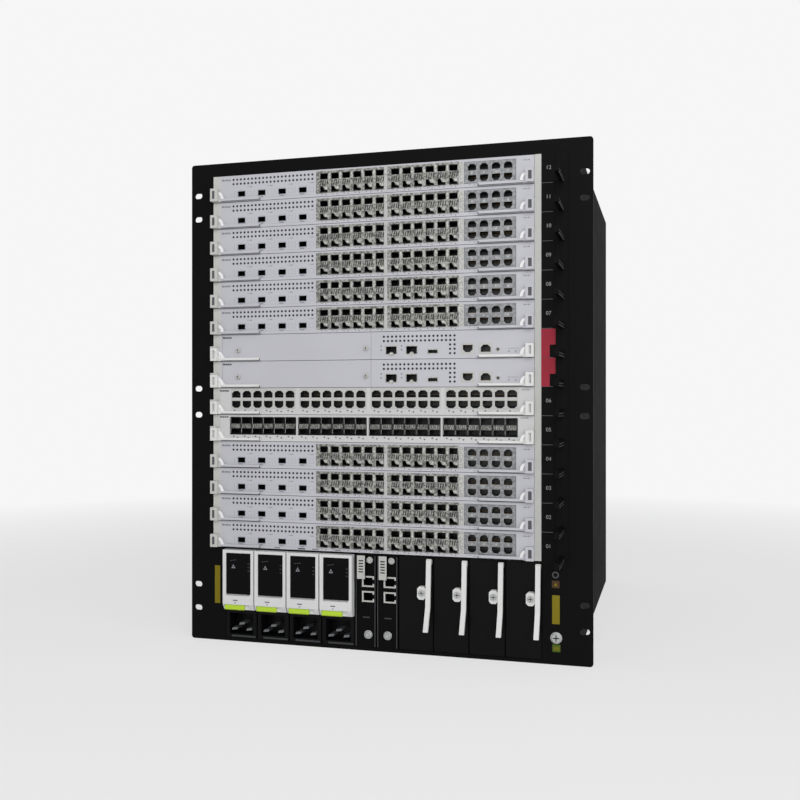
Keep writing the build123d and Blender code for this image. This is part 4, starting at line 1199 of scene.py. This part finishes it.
power_front = unit_finish("power_front", rgb(216, 216, 216), FRONT - 0.2)
boss_front = unit_finish("boss_front", rgb(214, 214, 212), FRONT - 0.2)
NODE_PAINTS = {
    "front_plate": plate_black,
    "chassis_shell": body_black,
    "rear_panel": body_black,
    "cable_hooks": plate_black,
    "bay_frame": bay_black,
    "card_guide_left": inside_steel,
    "card_guide_right": strip_white,
    "backplane": board_green,
}
for name, node in nodes.items():
    if name in NODE_PAINTS:
        paint = NODE_PAINTS[name]
    elif name.startswith(("copper_card", "fibre_card")):
        paint = plain_panel
    elif "card" in name and "guide" not in name:
        paint = card_panel
    elif name.startswith("fabric_unit"):
        paint = boss_front
    elif name.startswith("power_unit"):
        paint = power_front
    elif name.startswith("power_latch"):
        paint = latch_lime
    elif name.startswith("monitoring_unit"):
        paint = bay_black
    elif name.startswith(("lever", "fabric_lever")):
        paint = lever_white
    elif name.startswith("fan_tray"):
        paint = inside_steel
    elif name.startswith("fan_rotor"):
        paint = fan_black
    else:
        paint = button_grey
    node.data.materials.clear()
    node.data.materials.append(paint.material)
print("solids finished", len(nodes))

# %% [markdown]
# The photo's camera stands to the right of the chassis, level with its middle, so the upright edges
# stay upright in the picture and only the turn to the left has to be set.

# %% Camera
CAMERA_LENS, CAMERA_SHIFT = 43.06, 0.003
CAMERA_PLACE, CAMERA_TURN = (0.3235, -1.3162, 0.2877), 15.87
camera_data = bpy.data.cameras.new("camera")
camera_data.sensor_width = 36.0
camera_data.lens = CAMERA_LENS
camera_data.shift_y = CAMERA_SHIFT
camera = bpy.data.objects.new("camera", camera_data)
camera.location = CAMERA_PLACE
camera.rotation_euler = (math.pi / 2, 0, math.radians(CAMERA_TURN))
bpy.context.scene.collection.objects.link(camera)
bpy.context.scene.camera = camera
print("camera at", tuple(round(c, 3) for c in camera.location))

# %% [markdown]
# The room is a pale studio. Floor and background are white to the camera, in mirrors and through
# glass, but the object is lit only by a plain grey world and by the lamps. Near the object the
# floor keeps part of its own light, and with it the soft shadow; further out it fades to white.

# %% Floor and background
WORLD_LIGHT = (0.36, 0.36, 0.37)
FLOOR_WHITE, FLOOR_END = 0.65, 3.0
world = bpy.data.worlds.new("studio")
world.use_nodes = True
bpy.context.scene.world = world
sky = Shader(world.node_tree)
backdrop = sky.mix(sky.seen(), (*WORLD_LIGHT, 1), (*rgb(246, 246, 246), 1))
sky.tree.links.new(backdrop.socket, sky.tree.nodes["Background"].inputs["Color"])

floor_paint = Paint("studio_floor", rgb(240, 240, 240), 0.9)
white = floor_paint.node("ShaderNodeEmission", {}, {"Color": (*rgb(246, 246, 246), 1)})
lit = Value(floor_paint, floor_paint.shader.outputs[0])
reach = floor_paint.x * floor_paint.x + floor_paint.y * floor_paint.y
far = floor_paint.node("ShaderNodeMapRange", {}, {"Value": reach, "From Min": 0.4, "From Max": FLOOR_END})
share = floor_paint.seen() * (FLOOR_WHITE + far * (1 - FLOOR_WHITE))
blend = floor_paint.node("ShaderNodeMixShader", {}, {0: share, 1: lit, 2: white})
floor_paint.tree.links.new(blend.socket, floor_paint.tree.nodes["Material Output"].inputs["Surface"])
floor_mesh = bpy.data.meshes.new("floor")
floor_mesh.from_pydata([(-6, -6, 0), (6, -6, 0), (6, 6, 0), (-6, 6, 0)], [], [(0, 1, 2, 3)])
floor_mesh.materials.append(floor_paint.material)
floor = bpy.data.objects.new("studio_floor", floor_mesh)
bpy.context.scene.collection.objects.link(floor)
print("floor and background ready")

# %% [markdown]
# One large soft lamp in front gives the panels their even tone, brightest at the right as in the
# photo. A weaker one further to the right lights the side of the body.


# %% Lamps
def soft_lamp(name, place, target, size, power):
    data = bpy.data.lights.new(name, "AREA")
    data.size = size
    data.energy = power
    lamp = bpy.data.objects.new(name, data)
    lamp.location = place
    lamp.rotation_euler = (Vector(target) - Vector(place)).to_track_quat("-Z", "Y").to_euler()
    bpy.context.scene.collection.objects.link(lamp)
    return lamp


soft_lamp("key", (0.9, -2.5, 1.1), (0, -0.26, 0.3), 1.6, 36)
soft_lamp("side", (2.2, -1.6, 1.2), (0.1, 0, 0.3), 1.6, 10)
bpy.context.scene.view_settings.view_transform = "Standard"
print("lamps ready")
